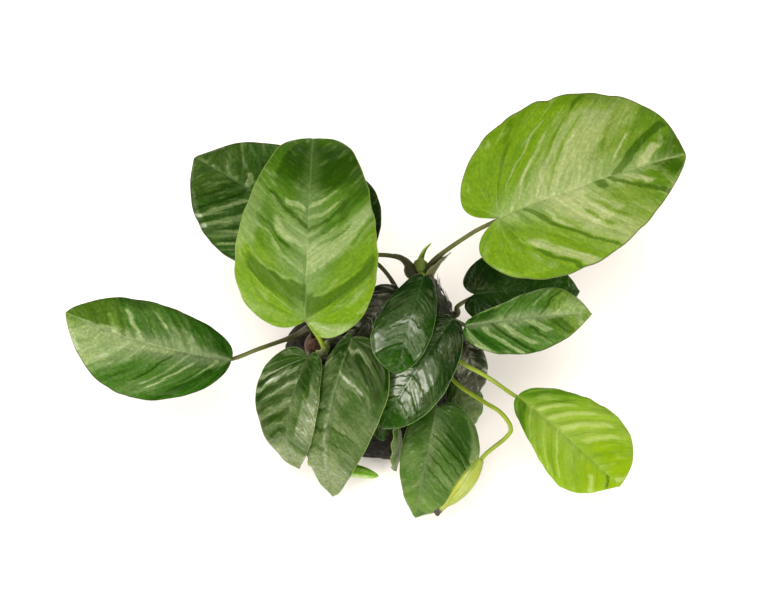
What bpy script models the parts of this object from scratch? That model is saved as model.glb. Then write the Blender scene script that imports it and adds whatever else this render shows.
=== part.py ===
"""A dwarf anubias grown on a stone: creeping stem, roots, stalked leaves, a new leaf and a flower bud.

The table values are millimetres and degrees, and MM turns them into Blender's metres. +Z is up.
The origin is the middle of the stone's flat underside. +X is to the right and +Y is away from the
side that the plant is looked at from.
"""

import math
from dataclasses import dataclass

import bmesh
import bpy
from mathutils import Matrix, Vector, noise

MM = 0.001
GAP = 0.35  # kept between two pieces that touch on the real plant
UP = Vector((0, 0, 1))

# The stone
STONE_HALF = Vector((34, 31, 24))  # half length, half depth, half height
STONE_MIDDLE = Vector((0, 1.5, 13.5))
STONE_TURN = math.radians(-12)  # about Z
STONE_LUMPS = ((3.8, 20), (1.5, 8.5), (0.6, 4))  # (height, size) of its broad, middle and small lumps
STONE_CHIP_DEPTH = 0.85  # share of what stands past a broken face that is gone
STONE_CHIPS = (  # flat broken faces: the way each one looks, and how far it is from the middle
    (Vector((-0.8, -0.5, 0.35)), 27),
    (Vector((0.75, -0.6, 0.3)), 26),
    (Vector((0.9, 0.3, 0.45)), 28),
    (Vector((-0.35, 0.85, 0.5)), 25),
    (Vector((0.1, -0.75, 0.75)), 23),
    (Vector((-0.1, 0.1, 1.0)), 22),
)

# The creeping stem: a main run over the stone's top and a younger branch behind it
STEM_RADIUS = 4.4
BRANCH_RADIUS = 4.0
STEM_PATH = (
    (-25, 5, 39.5), (-12, 2, 41), (2, 1, 41.5), (14, 3, 41),
    (21, 8, 40.5), (21.5, 15.5, 41), (17.5, 22.5, 43), (15.5, 27.5, 46.5),
)
BRANCH_PATH = ((6.5, 8.5, 41.5), (8.5, 13.5, 41.5), (10, 18.5, 42.3))
STEM_RING = 5.5  # spacing of the leaf scars
STEM_RING_DEPTH = 0.35
STEM_SIDES = 10

# Leaf blades, and the stalks that carry them
BLADE_THICKNESS = 0.9
BLADE_EDGE = 0.5
BLADE_RINGS = 14
BLADE_RING_SPREAD = 1.25  # above 1, the rings are closer together at the lobes
BLADE_COLUMNS = (-1, -0.55, 0, 0.55, 1)  # across, from the right edge to the left one
LOBE_WIDTH = 0.12  # radians of the outline over which the notch opens into a lobe
VEIN_RAKE = 0.4  # how far the middle of each half lags behind, as its veins sweep forward
RIB_SPREAD = 1.5
STALK_FOOT = 1.7  # radius of the sheath where the stalk leaves the stem
STALK_MIDDLE = 0.85
STALK_TOP = 0.7
STALK_SIDES = 5
SHEATH_SHARE = 0.45  # of the stalk's length
STALK_JOIN = 0.1  # where the stalk ends under the blade, as its s

# The furled new leaf and the flower bud
SHOOT_PATH = ((14.6, 29, 51), (15, 30.7, 55), (16.2, 32, 60), (18.3, 33, 64))
SHOOT_RADIUS = 1.55
SHOOT_TIP = 0.25
SHEATH_PATH = ((14.8, 26.2, 51.5), (15.6, 25.4, 53), (16, 23.6, 52.5))
SHEATH_RADIUS = 1.4
BUD_PATH = ((35, -38, 45), (31.8, -43.3, 43.5), (26.3, -49.5, 39), (20, -54.3, 34))
BUD_RADIUS = 2.9
BUD_NECK = 0.3  # share of the radius that the hood keeps at its narrow ends
BUD_STALK_FROM = ("stem", 0.62, -70)
BUD_STALK_PATH = (
    (24, -6, 42), (28.2, -11.1, 42), (36.4, -18, 46),
    (41.6, -22.3, 49), (45, -27.5, 49.5), (43.5, -31, 48.5),
)
BUD_STALK_RADIUS = 0.75


@dataclass
class Leaf:
    """One leaf. base is where its stalk meets the blade, and tip is the blade's point.

    Each side has its half width, how far its lobe reaches back past the base, its belly (below 0, the
    side is widest nearer the base), and how drawn out it is towards the tip.
    """

    name: str
    base: tuple
    tip: tuple
    left: tuple  # with the tip ahead: (half width, lobe, belly, point)
    right: tuple
    root: tuple  # (which stem, share of its length, degrees round it from the top)
    colour: tuple
    via: tuple = ()  # points that the stalk passes through
    arch: float = 3  # height of the midrib's bow
    fold: float = 6  # degrees that each half rises from the midrib
    cup: float = 1.5  # how far the edges turn down
    roll: float = 0  # degrees about the midrib, left side up
    sweep: float = 0  # sideways bow of the midrib, to the left


YOUNG = (0.32, 0.50, 0.06)
BRIGHT = (0.20, 0.42, 0.05)
MIDDLE = (0.12, 0.30, 0.05)
OLD = (0.05, 0.16, 0.03)

LEAVES = (
    Leaf(
        "leaf_01", (40, 34, 86), (102.5, 55.5, 88), (33.2, 12.2, 0, -0.15), (27, 12.2, -0.25, 0.5),
        ("stem", 0.93, -5), BRIGHT, ((18.6, 28.5, 55.5), (31, 32.5, 74)), arch=4, fold=2, cup=1,
    ),
    Leaf(
        "leaf_02", (-23.5, 2, 76), (-22, 68.2, 72), (24.2, 4, -0.35, -0.3), (23.6, 7.5, -0.27, -0.45),
        ("stem", 0.12, -10), BRIGHT, ((-18, 0, 50), (-19.5, 0, 62)), arch=6, fold=3, cup=2,
    ),
    Leaf(
        "leaf_03", (-12.5, 30, 62), (-64.5, 68.5, 54), (24.5, 6, 0, 0.8), (21, 6, 0, 0.8),
        ("stem", 0.92, 50), OLD, ((12, 26.5, 51), (10, 29.2, 54), (4.5, 31, 57)), arch=5,
    ),
    Leaf(
        "leaf_04", (-9, 31.5, 53), (-9, 63, 54), (10, 3, 0, 0.4), (10.5, 3, 0, 0.4),
        ("branch", 0.75, 80), OLD, ((6.8, 21.8, 46.5), (0, 30.5, 50)),
    ),
    Leaf(
        "leaf_05", (-50, -3.7, 48), (-107, 12.3, 52), (19.8, 0.4, 0, 0.7), (14.7, 0.4, 0, 0.7),
        ("stem", 0.03, 40), MIDDLE, ((-29, 6, 43.5), (-40, 1, 46.5)), arch=3, sweep=3.3,
    ),
    Leaf(
        "leaf_06", (-23.5, -4.5, 54), (-27.5, -34.5, 16), (10, 3, -0.1, 1.2), (13.4, 3, -0.55, -0.2),
        ("stem", 0.05, -60), OLD, arch=8, roll=14, sweep=-3,
    ),
    Leaf(
        "leaf_07", (-8.5, 1.2, 58), (-16, -43, 9), (18.5, 2.2, -0.48, 0.25), (8, 2, 0, 0.5),
        ("stem", 0.22, 0), OLD, arch=9, roll=8, sweep=-3,
    ),
    Leaf(
        "leaf_08", (15.7, 19.2, 70), (6.3, -12.6, 62), (8.2, 1, 0.05, 0.4), (11.7, 1, 0.35, 0.4),
        ("branch", 0.8, -30), OLD, arch=3,
    ),
    Leaf(
        "leaf_09", (25.2, 6.9, 60), (1.3, -25.7, 40), (12.2, 1.5, 0, 0.5), (10, 1.5, 0, 0.5),
        ("stem", 0.6, 0), OLD, arch=5,
    ),
    Leaf(
        "leaf_10", (20.6, -18, 38), (13.3, -50.5, 8), (18, 3.5, -0.25, 0.6), (9.3, 3, -0.25, 0.6),
        ("stem", 0.5, -70), OLD, ((15, -9, 41),), arch=6,
    ),
    Leaf(
        "leaf_11", (7, -24.5, 37.5), (6.5, -34.5, 12), (3, 1, 0, 0.4), (3, 1, 0, 0.4),
        ("stem", 0.44, -60), OLD, ((6, -14, 40),), arch=1, roll=-60,
    ),
    Leaf(
        "leaf_12", (1, -17.5, 41), (2, -28, 31), (3.2, 1, 0, 0.2), (4.5, 1, 0, 0.2),
        ("stem", 0.36, -70), OLD, ((0.5, -10, 42),), arch=1,
    ),
    Leaf(
        "leaf_13", (30, 5, 60), (72.6, 9, 61), (10, 0.4, 0.42, 1.5), (12.9, 2.2, -0.1, 0.8),
        ("stem", 0.72, -15), MIDDLE, ((26.5, 9.5, 51),), arch=2, fold=12,
    ),
    Leaf(
        "leaf_14", (33.7, 19.4, 50), (70.4, 21.8, 46), (16, 5, -0.1, 0.7), (14.5, 5, -0.1, 0.7),
        ("stem", 0.77, -80), OLD, ((28, 16.5, 46),), arch=2,
    ),
    Leaf(
        "leaf_15", (48, -16, 46), (82, -46.5, 42), (17.2, 0.5, 0.3, 0), (14.3, 0.5, 0.3, 1.5),
        ("stem", 0.675, -70), YOUNG, ((23.5, 1.5, 49), (28.8, -5.2, 50.3), (37, -9.5, 48.5)), arch=3,
    ),
    Leaf(
        "leaf_16", (29.5, 4.4, 50), (35.3, -10.8, 33), (5.6, 1, 0, 0.4), (6.5, 1, 0, 0.4),
        ("stem", 0.71, -80), OLD, ((28, 8.5, 46),), arch=2,
    ),
    Leaf(
        "leaf_17", (27, -7, 33), (34.4, -17.8, 14), (7, 1, 0, 0.4), (6.5, 1, 0, 0.4),
        ("stem", 0.6, -90), OLD, ((22, -5, 37),), arch=2,
    ),
    Leaf(
        "leaf_18", (7.4, 18.5, 54), (-9.3, 1.8, 51), (8, 2, 0, 0.4), (9, 2, 0, 0.4),
        ("branch", 0.35, 40), OLD, arch=2,
    ),
    Leaf(
        "leaf_19", (-20, -32, 14), (0.4, -34.4, 4), (2.4, 1, 0, 0.2), (2.6, 1, 0, 0.2),
        ("stem", 0.17, -90), BRIGHT, ((-14, -10, 36), (-16, -20, 28), (-24, -32, 18)), arch=2,
    ),
)


@dataclass
class Root:
    """A root from a stem's side down over the stone. over holds (compass, height) degrees from the middle."""

    name: str
    start: tuple  # (which stem, share of its length, degrees round it from the top)
    over: tuple
    radius: float = 0.9


ROOTS = (
    Root("root_01", ("stem", 0.02, -110), ((207, 50), (212, 35), (216, 20), (214, 5))),
    Root("root_02", ("stem", 0.05, 110), ((172, 55), (162, 40), (158, 25), (162, 10))),
    Root("root_03", ("stem", 0.3, -115), ((257, 62), (262, 45), (258, 30), (262, 15), (259, 0)), 1.0),
    Root("root_04", ("stem", 0.54, -125), ((298, 62), (302, 45), (306, 30), (302, 14)), 0.9),
    Root("root_05", ("branch", 0.9, 110), ((116, 56), (122, 42), (119, 28), (124, 14), (120, 2)), 1.0),
    Root("root_06", ("stem", 0.82, -110), ((40, 44), (37, 36), (34, 27), (38, 18), (33, 6))),
)


def smooth_path(points, steps, leaving=None, arriving=None):
    """Points along a smooth curve through the given ones, steps to each stretch.

    leaving and arriving are the directions that it has at its two ends, where they matter.
    """
    points = [Vector(p) for p in points]
    before, after = 2 * points[0] - points[1], 2 * points[-1] - points[-2]
    if leaving:
        before = points[1] - leaving * 2 * (points[1] - points[0]).length
    if arriving:
        after = points[-2] + arriving * 2 * (points[-1] - points[-2]).length
    ends = [before, *points, after]
    curve = []
    for a, b, c, d in zip(ends, ends[1:], ends[2:], ends[3:]):
        for i in range(steps):
            u = i / steps
            bend = (2 * a - 5 * b + 4 * c - d) * u**2 + (3 * b - a - 3 * c + d) * u**3
            curve.append(0.5 * (2 * b + (c - a) * u + bend))
    return [*curve, points[-1]]


def path_length(path):
    return sum((b - a).length for a, b in zip(path, path[1:]))


def at_share(path, share):
    """(point, direction) at a share of a path's length."""
    lengths = [(b - a).length for a, b in zip(path, path[1:])]
    left = share * sum(lengths)
    for a, b, length in zip(path, path[1:], lengths):
        if left <= length:
            break
        left -= length
    return a.lerp(b, min(1, left / length)), (b - a).normalized()


def mapped_grid(rows, columns, place):
    """A closed skin: a grid whose point at (row, column) is moved to place(row, column), then sewn."""
    bm = bmesh.new()
    bmesh.ops.create_grid(bm, x_segments=rows, y_segments=columns, size=1)
    for vertex in bm.verts:
        row = round((vertex.co.x + 1) / 2 * rows)
        column = round((vertex.co.y + 1) / 2 * columns)
        vertex.co = place(row, column) * MM
    bmesh.ops.remove_doubles(bm, verts=bm.verts, dist=1e-7)
    bmesh.ops.dissolve_degenerate(bm, dist=1e-7, edges=bm.edges)
    bmesh.ops.recalc_face_normals(bm, faces=bm.faces)
    if bm.calc_volume(signed=True) < 0:
        bmesh.ops.reverse_faces(bm, faces=bm.faces)
    return bm


def add_object(name, bm, colour, roughness=0.4):
    """One named piece with its own material."""
    mesh = bpy.data.meshes.new(name)
    bm.to_mesh(mesh)
    bm.free()
    mesh.shade_smooth()
    piece = bpy.data.objects.new(name, mesh)
    bpy.context.scene.collection.objects.link(piece)
    material = bpy.data.materials.new(name)
    material.use_nodes = True
    shader = material.node_tree.nodes["Principled BSDF"]
    shader.inputs["Base Color"].default_value = (*colour, 1)
    shader.inputs["Roughness"].default_value = roughness
    mesh.materials.append(material)


def tube(path, radius, sides):
    """A closed round bar along a path, as thick as radius(share of its length), with flat ends."""
    rows = len(path) + 1
    total = path_length(path)
    shares = [0.0]
    for a, b in zip(path, path[1:]):
        shares.append(shares[-1] + (b - a).length / total)
    frames = []
    side = None
    for i in range(len(path)):
        along = (path[min(i + 1, len(path) - 1)] - path[max(i - 1, 0)]).normalized()
        if side is None:
            side = along.orthogonal().normalized()
        side = (side - along * side.dot(along)).normalized()
        frames.append((side.copy(), along.cross(side)))

    def place(row, column):
        if row in (0, rows):
            return path[0 if row == 0 else -1]
        i = row - 1
        angle = 2 * math.pi * (column % sides) / sides
        a, b = frames[i]
        return path[i] + (a * math.cos(angle) + b * math.sin(angle)) * radius(shares[i])

    return mapped_grid(rows, sides, place)


def stone_surface(direction):
    """The stone's surface in a direction from its middle, before its underside is cut flat."""
    away = Vector(a * b for a, b in zip(direction, STONE_HALF))
    lumps = sum(height * noise.noise(away / size) for height, size in STONE_LUMPS)
    point = away + direction * lumps
    for way, distance in STONE_CHIPS:
        way = way.normalized()
        past = point.dot(way) - distance
        if past > 0:
            point -= way * past * STONE_CHIP_DEPTH
    return Matrix.Rotation(STONE_TURN, 3, "Z") @ point + STONE_MIDDLE


def add_stone():
    bm = bmesh.new()
    bmesh.ops.create_icosphere(bm, subdivisions=4, radius=1)
    for vertex in bm.verts:
        vertex.co = stone_surface(vertex.co.normalized()) * MM
    everything = [*bm.verts, *bm.edges, *bm.faces]
    cut = bmesh.ops.bisect_plane(
        bm, geom=everything, dist=1e-6, plane_co=(0, 0, 0), plane_no=(0, 0, -1), clear_outer=True
    )
    rim = [e for e in cut["geom_cut"] if isinstance(e, bmesh.types.BMEdge)]
    bmesh.ops.contextual_create(bm, geom=rim)
    bmesh.ops.recalc_face_normals(bm, faces=bm.faces)
    add_object("stone", bm, (0.035, 0.028, 0.026), 0.8)


STEMS = {
    "stem": (smooth_path(STEM_PATH, 3), STEM_RADIUS),
    "branch": (smooth_path(BRANCH_PATH, 4), BRANCH_RADIUS),
}


def stem_radius(full, length):
    """Thickness along a stem: rounded ends, and a shallow ring at each leaf scar."""

    def radius(share):
        end = min(share, 1 - share) * length
        rounding = math.sqrt(max(0.0, 1 - max(0.0, 1 - end / full) ** 2))
        ring = STEM_RING_DEPTH * math.cos(2 * math.pi * share * length / STEM_RING)
        return max(0.8, (full + ring) * (0.35 + 0.65 * rounding))

    return radius


def add_stems():
    for name, (path, full) in STEMS.items():
        bm = tube(path, stem_radius(full, path_length(path)), STEM_SIDES)
        add_object("rhizome_" + name, bm, (0.14, 0.20, 0.05), 0.5)


def on_stem(which, share, turn):
    """(point, outward direction) on a stem's skin: turn is in degrees from its top, to its left."""
    path, full = STEMS[which]
    centre, along = at_share(path, share)
    top = (UP - along * UP.dot(along)).normalized()
    left = top.cross(along)
    turn = math.radians(turn)
    out = top * math.cos(turn) + left * math.sin(turn)
    return centre + out * (full + STEM_RING_DEPTH + GAP), out


def blade_frame(leaf):
    """(base, length, midrib direction, left direction, upward normal) of a blade."""
    base, tip = Vector(leaf.base), Vector(leaf.tip)
    along = (tip - base).normalized()
    normal = (UP - along * UP.dot(along)).normalized()
    normal = Matrix.Rotation(math.radians(leaf.roll), 3, along) @ normal
    return base, (tip - base).length, along, normal.cross(along), normal


def blade_point(leaf, s, t):
    """A blade's middle surface: s runs from its notch to its tip, t from its right edge, -1, to its left."""
    base, length, along, left, normal = blade_frame(leaf)
    angle = math.pi * (1 - s)
    half, lobe, belly, point = leaf.left if t > 0 else leaf.right
    edge_x = (length - lobe) / 2 + (length + lobe) / 2 * math.cos(angle)
    edge_x += lobe * math.exp((angle - math.pi) / LOBE_WIDTH)
    swell = max(0.0, math.sin(angle + belly * math.sin(angle)))
    edge_y = half * swell ** (1 + point * (1 + math.cos(angle)) / 2)
    rib_x = length * s**RIB_SPREAD
    share = abs(t)
    x = rib_x + (edge_x - rib_x) * share - VEIN_RAKE * edge_y * share * (1 - share)
    y = edge_y * t
    bow = 4 * x / length * (1 - x / length)
    z = leaf.arch * bow + abs(y) * math.tan(math.radians(leaf.fold)) - leaf.cup * (y / half) ** 2
    y += leaf.sweep * max(bow, 0)
    return base + along * x + left * y + normal * z


def add_blade(leaf):
    """The upper side's columns run from right to left, and the lower side's run back."""
    normal = blade_frame(leaf)[4]
    across = len(BLADE_COLUMNS)

    def place(row, column):
        s = (row / BLADE_RINGS) ** BLADE_RING_SPREAD
        column %= 2 * across
        below = column >= across
        t = BLADE_COLUMNS[2 * across - 1 - column if below else column]
        if row in (0, BLADE_RINGS):
            return blade_point(leaf, s, 0)
        thick = BLADE_EDGE + (BLADE_THICKNESS - BLADE_EDGE) * (1 - abs(t))
        return blade_point(leaf, s, t) + normal * thick * (-0.5 if below else 0.5)

    add_object(leaf.name + "_blade", mapped_grid(BLADE_RINGS, 2 * across, place), leaf.colour, 0.3)


def stalk_path(leaf):
    """The stalk leaves the stem steeply, and comes up to the blade's midrib from below."""
    normal = blade_frame(leaf)[4]
    root, out = on_stem(*leaf.root)
    middle = blade_point(leaf, STALK_JOIN, 0)
    heading = (blade_point(leaf, 2 * STALK_JOIN, 0) - middle).normalized()
    end = middle - normal * (BLADE_THICKNESS / 2 + GAP + STALK_TOP)
    via = [Vector(v) for v in leaf.via] or [root.lerp(end, 0.5) + out]
    first, last = (via[0] - root).normalized(), (end - via[-1]).normalized()
    leaving = (out * 2 + first).normalized()
    arriving = (last + heading * 0.5 + normal * 0.3).normalized()
    root += out * STALK_FOOT * math.sin(out.angle(leaving))
    return smooth_path([root, *via, end], 3, leaving, arriving)


def add_stalk(leaf):
    def radius(share):
        sheath = max(0.0, 1 - share / SHEATH_SHARE) ** 1.5
        thin = STALK_TOP + (STALK_MIDDLE - STALK_TOP) * (1 - share)
        return thin + (STALK_FOOT - STALK_MIDDLE) * sheath

    add_object(leaf.name + "_stalk", tube(stalk_path(leaf), radius, STALK_SIDES), leaf.colour)


def add_root(root):
    start, out = on_stem(*root.start)
    path = [start]
    for compass, height in root.over:
        level = math.cos(math.radians(height))
        compass = math.radians(compass)
        away = Vector((math.cos(compass) * level, math.sin(compass) * level, math.sin(math.radians(height))))
        path.append(stone_surface(away) + away * (root.radius + 2 * GAP))
    path = smooth_path(path, 3, leaving=(out + (path[1] - start).normalized()).normalized())
    bm = tube(path, lambda share: root.radius * (1 - 0.6 * share), STALK_SIDES)
    add_object(root.name, bm, (0.16, 0.14, 0.07), 0.7)


def bud_radius(share):
    """Thickest a little before its middle, and narrow at both ends."""
    swell = math.sin(math.pi * min(1, share * 1.15 + 0.08))
    return BUD_RADIUS * (BUD_NECK + (1 - BUD_NECK) * swell)


def add_bud():
    """The furled hood and the thin stalk that carries it."""
    add_object("bud_hood", tube(smooth_path(BUD_PATH, 3), bud_radius, 8), (0.42, 0.46, 0.10), 0.5)
    first, second = (Vector(p) for p in BUD_PATH[:2])
    end = first + (first - second).normalized() * GAP
    root, out = on_stem(*BUD_STALK_FROM)
    leaving = (out + (Vector(BUD_STALK_PATH[0]) - root).normalized()).normalized()
    path = smooth_path([root, *BUD_STALK_PATH, end], 2, leaving, (second - first).normalized())
    add_object("bud_stalk", tube(path, lambda share: BUD_STALK_RADIUS, STALK_SIDES), YOUNG)


def add_shoot():
    """The furled new leaf at the stem's growing end, and the sheath that it came out of."""
    bm = tube(smooth_path(SHOOT_PATH, 3), lambda share: SHOOT_RADIUS + (SHOOT_TIP - SHOOT_RADIUS) * share, 6)
    add_object("new_leaf", bm, BRIGHT)
    bm = tube(smooth_path(SHEATH_PATH, 3), lambda share: SHEATH_RADIUS * (1 - 0.7 * share), 6)
    add_object("new_leaf_sheath", bm, YOUNG, 0.5)


def main():
    for old in list(bpy.data.objects):
        bpy.data.objects.remove(old)
    add_stone()
    add_stems()
    for root in ROOTS:
        add_root(root)
    for leaf in LEAVES:
        add_blade(leaf)
        add_stalk(leaf)
    add_bud()
    add_shoot()


if __name__ == "__main__":
    main()
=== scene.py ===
"""The finished look of a dwarf anubias on its stone: blades, stalks, rhizome, roots, bud and stone.

Sizes and places are millimetres and degrees, as in the part's own source, and MM turns them into
Blender's metres. +Z is up, the stone stands at the origin, and the camera looks steeply down from -Y.
Only the floor, the lights and the textures' scales are in Blender's own units.
"""

import math
import random
from dataclasses import dataclass

import bmesh
import bpy
from mathutils import Matrix, Vector, noise


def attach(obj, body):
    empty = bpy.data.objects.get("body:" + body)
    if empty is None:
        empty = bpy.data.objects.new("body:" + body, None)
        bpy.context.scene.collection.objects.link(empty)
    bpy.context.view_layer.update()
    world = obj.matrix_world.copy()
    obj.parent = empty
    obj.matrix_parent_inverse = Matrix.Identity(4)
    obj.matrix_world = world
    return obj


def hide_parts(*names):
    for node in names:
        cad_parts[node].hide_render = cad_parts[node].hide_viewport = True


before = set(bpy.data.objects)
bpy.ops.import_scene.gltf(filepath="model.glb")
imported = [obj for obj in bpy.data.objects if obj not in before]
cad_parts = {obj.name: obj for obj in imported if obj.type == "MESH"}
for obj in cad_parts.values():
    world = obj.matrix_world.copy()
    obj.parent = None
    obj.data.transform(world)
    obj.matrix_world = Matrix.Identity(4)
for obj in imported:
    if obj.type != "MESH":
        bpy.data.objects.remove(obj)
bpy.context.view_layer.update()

MM = 0.001
GAP = 0.35  # between two of the frame's solids that touch on the real plant
UP = Vector((0, 0, 1))
BODY = "root"

# The camera: steeply from above the plant's front
CAMERA_HEIGHT_ANGLE = 72
CAMERA_DISTANCE = 620
CAMERA_TARGET = Vector((3.5, 14, 60))
CAMERA_LENS = 84.96
CAMERA_SENSOR = 36

# The floor and the lights, in metres and watts
FLOOR_HALF = 2.5
LIT_PLACE = Vector((0, 0, 0.05))
WARM = (1.0, 0.97, 0.92)
LIGHTS = (  # (name, place, size, watts)
    ("ceiling_strip", (-0.12, 0.0, 1.5), (0.5, 0.9), 11.3),
    ("window_front_left", (-0.95, -0.9, 1.2), (0.8, 0.75), 22),
    ("front_screen", (0.1, -1.55, 0.6), (1.6, 0.7), 32),
    ("left_screen", (-1.7, 0.6, 0.85), (0.8, 1.2), 30),
    ("right_screen", (1.7, 0.4, 0.95), (0.8, 1.2), 30),
    ("back_screen", (0.2, 1.8, 0.6), (1.6, 0.7), 6),
)
SKY = (1.0, 0.98, 0.93)
SKY_STRENGTH = 0.1

# The stone
STONE_HALF = Vector((34, 31, 24))
STONE_MIDDLE = Vector((0, 1.5, 13.5))
STONE_TURN = Matrix.Rotation(math.radians(-12), 3, "Z")
STONE_LUMPS = ((3.8, 20), (1.5, 8.5), (0.6, 4))  # (height, size)
STONE_CHIP_DEPTH = 0.85
STONE_CHIPS = (  # (the way a broken face looks, its distance from the middle)
    (Vector((-0.8, -0.5, 0.35)), 27),
    (Vector((0.75, -0.6, 0.3)), 26),
    (Vector((0.9, 0.3, 0.45)), 28),
    (Vector((-0.35, 0.85, 0.5)), 25),
    (Vector((0.1, -0.75, 0.75)), 23),
    (Vector((-0.1, 0.1, 1.0)), 22),
)
STONE_PITS = ((0.9, 3.4, 0.42), (0.45, 1.5, 0.45))  # (depth, spacing, share of the spacing that is open)
PIT_FLOOR = 0.45  # share of a pit's breadth that is as deep as its middle
PIT_PATCH = 4  # spacings across a patch of many pits
STONE_GRAIN = 0.16
STONE_GRAIN_SIZE = 1.3
STONE_SPLITS = 7  # how often the round form's faces are split

# The creeping stem
STEM_RADIUS = 4.4
BRANCH_RADIUS = 4.0
STEM_PATH = (
    (-25, 5, 39.5), (-12, 2, 41), (2, 1, 41.5), (14, 3, 41),
    (21, 8, 40.5), (21.5, 15.5, 41), (17.5, 22.5, 43), (15.5, 27.5, 46.5),
)
BRANCH_PATH = ((6.5, 8.5, 41.5), (8.5, 13.5, 41.5), (10, 18.5, 42.3))
STEM_RING = 5.5
STEM_RING_DEPTH = 0.35
STEM_RING_WANDER = 0.12
STEM_SCAR = 0.42  # height of a ring's scar
STEM_KNOBS = 1.6
STEM_GRAIN = 0.18
STEM_INSET = 0.2  # how far the skin lies inside the solid, before its scars and knobs
STEM_END = 0.35  # radius of a rounded end, to the full one
STEM_SIDES = 72
FIBRES = 260
FIBRE_STARTS = (0.04, 0.9)  # shares of the stem's length
FIBRE_REACHES = (0.05, 0.16)
FIBRE_TURNS = (-110, 110)  # degrees from the stem's top
FIBRE_DRIFTS = (-60, 60)  # degrees round the stem, from its start to its end
FIBRE_LIFTS = (0.1, 1.6)  # how far its end stands off
FIBRE_DEPTH = 0.5  # how far it starts below the level of the stalks' feet
FIBRE_RADII = (0.1, 0.22)
FIBRE_STEPS = 4
FIBRE_SIDES = 6

# Blades
GRAIN = 0.42  # spacing of a blade's points
BLADE_THICKNESS = 0.8
BLADE_EDGE = 0.3
BLADE_ROWS = 1.15  # rows of points, to those that the length needs, as the lobes need some too
BLADE_RING_SPREAD = 1.25
BLADE_COLUMN_SPREAD = 1.1
EDGE_COLUMN = 0.985  # the last column of points before the edge
LOBE_WIDTH = 0.12  # of the notch between the lobes, as an angle round the outline
VEIN_RAKE = 0.4  # how far a row of points bends back between midrib and edge
RIB_SPREAD = 1.5
RIB_BREADTH = 1.1
RIB_UNDER = 0.75  # how far the midrib stands out of the lower side
VEIN_LEAN = 0.55  # how far a side vein runs forward for each mm that it runs out from the midrib
VEIN_BEND = 0.5  # how much more it leans at the edge
LOBE_FAN = 20  # degrees between the veins that fan out into a lobe
VEINS_APART = 20  # added to each next leaf's vein numbers, so that no two leaves have the same streaks
RELIEF_FROM_RIB = 1.5  # the relief has its full height from here on
RELIEF_FROM_BASE = 6
STRANDS = 0.13  # height of the fine strands between the side veins
BROAD_WAVE = 17
CREASE_SPREAD = 0.14  # share of the veins over which a crease sets in
EDGE_ROLL_FROM = 0.9
EDGE_ROLL = 0.45
SCALLOP = 0.006  # how deep the edge's waves cut into the outline, as a share of the half width
SCALLOP_RATE = 1.7  # cuts to a wave
BAND_WANDER = 0.02  # how far a band strays from its line, as a share of the blade
BAND_NARROWEST = 0.014
BAND_FADE = 0.12  # share of the half's width over which a band fades at its ends

# Stalks and roots
STALK_FOOT = 1.7
STALK_MIDDLE = 0.85
STALK_TOP = 0.7
STALK_GROOVE = 0.1
STALK_WINGS = 0.5
STALK_UNEVEN = 0.05
STALK_SIDES = 20
STALK_STEPS = 12
STALK_JOIN = 0.1  # how far along the blade the stalk meets the midrib, as blade_point counts it
SHEATH_SHARE = 0.45  # share of a stalk's length that its own sheath thickens
YOUNG_STALKS = {"leaf_02", "leaf_15", "leaf_19"}
ROOT_LIFT = 0.3  # between a root and the stone
ROOT_BUMPS = 0.14
ROOT_THINS = 0.6  # share of its radius that a root has lost at its tip
ROOT_SIDES = 18
ROOT_STEPS = 16

# The thin sheaths round the stalks' feet
SHEATH_STEPS = 16
SHEATH_ROWS = 40
SHEATH_COLUMNS = 17
SHEATH_THICKNESS = 0.3
SHEATH_WANDER = 0.15  # how uneven its free edges are
SHEATH_FLARE = 0.5  # how far its free edges stand off at its foot

# The furled new leaf and the flower bud
SHOOT_PATH = ((14.6, 29, 51), (15, 30.7, 55), (16.2, 32, 60), (18.3, 33, 64))
SHOOT_RADIUS = 1.55
SHOOT_TIP = 0.25
SHOOT_STEPS = 20
SHOOT_SIDES = 32
SHOOT_SHEATH_PATH = ((14.8, 26.2, 51.5), (15.6, 25.4, 53), (16, 23.6, 52.5))
SHOOT_SHEATH_RADIUS = 1.4
SHOOT_SHEATH_SIDES = 24
BUD_PATH = ((35, -38, 45), (31.8, -43.3, 43.5), (26.3, -49.5, 39), (20, -54.3, 34))
BUD_RADIUS = 2.9
BUD_NECK = 0.3
BUD_LAP = 0.1  # share of the radius that the outer edge stands over the inner one
BUD_RIBS = 9
BUD_RIB_HEIGHT = 0.09
BUD_RAGGED = 0.7
BUD_SIDES = 64
BUD_STEPS = 36
BUD_STALK_FROM = ("stem", 0.62, -70)
BUD_STALK_PATH = (
    (24, -6, 42), (28.2, -11.1, 42), (36.4, -18, 46),
    (41.6, -22.3, 49), (45, -27.5, 49.5), (43.5, -31, 48.5),
)
BUD_STALK_RADIUS = 0.75
BUD_STALK_COLLAR = 0.12


@dataclass
class Finish:
    """A blade's colours from its lobes to its tip, and how its surface shines."""

    lobe: tuple
    middle: tuple
    tip: tuple
    heart: tuple  # along the midrib
    # Painted sheen: the pale colour is that of the light patches and streaks, which stand for reflected
    # light.
    pale: tuple  # the light patches and streaks
    # A rim lighter than the blade is a painted highlight of the edge; a darker one is the margin's own
    # brown.
    rim: tuple
    slot: str
    # Painted sheen: how strong the light patch across the blade's middle is.
    sheen_patch: float = 0.1  # how strong the light patches are
    # The light streaks along the veins are partly painted sheen, partly the leaf's own streaks.
    streak: float = 0.4  # how strong the streaks along the veins are
    roughness: float = 0.3
    shine: float = 0.08
    wrinkle: float = 1.8  # strength of the fine relief
    film: float = 1.0  # how much the light patches shine
    # The light specks and thin bright strokes that grain brings out are painted glints.
    grain: float = 0.5  # how clear the finest streaks and flecks are


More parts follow.
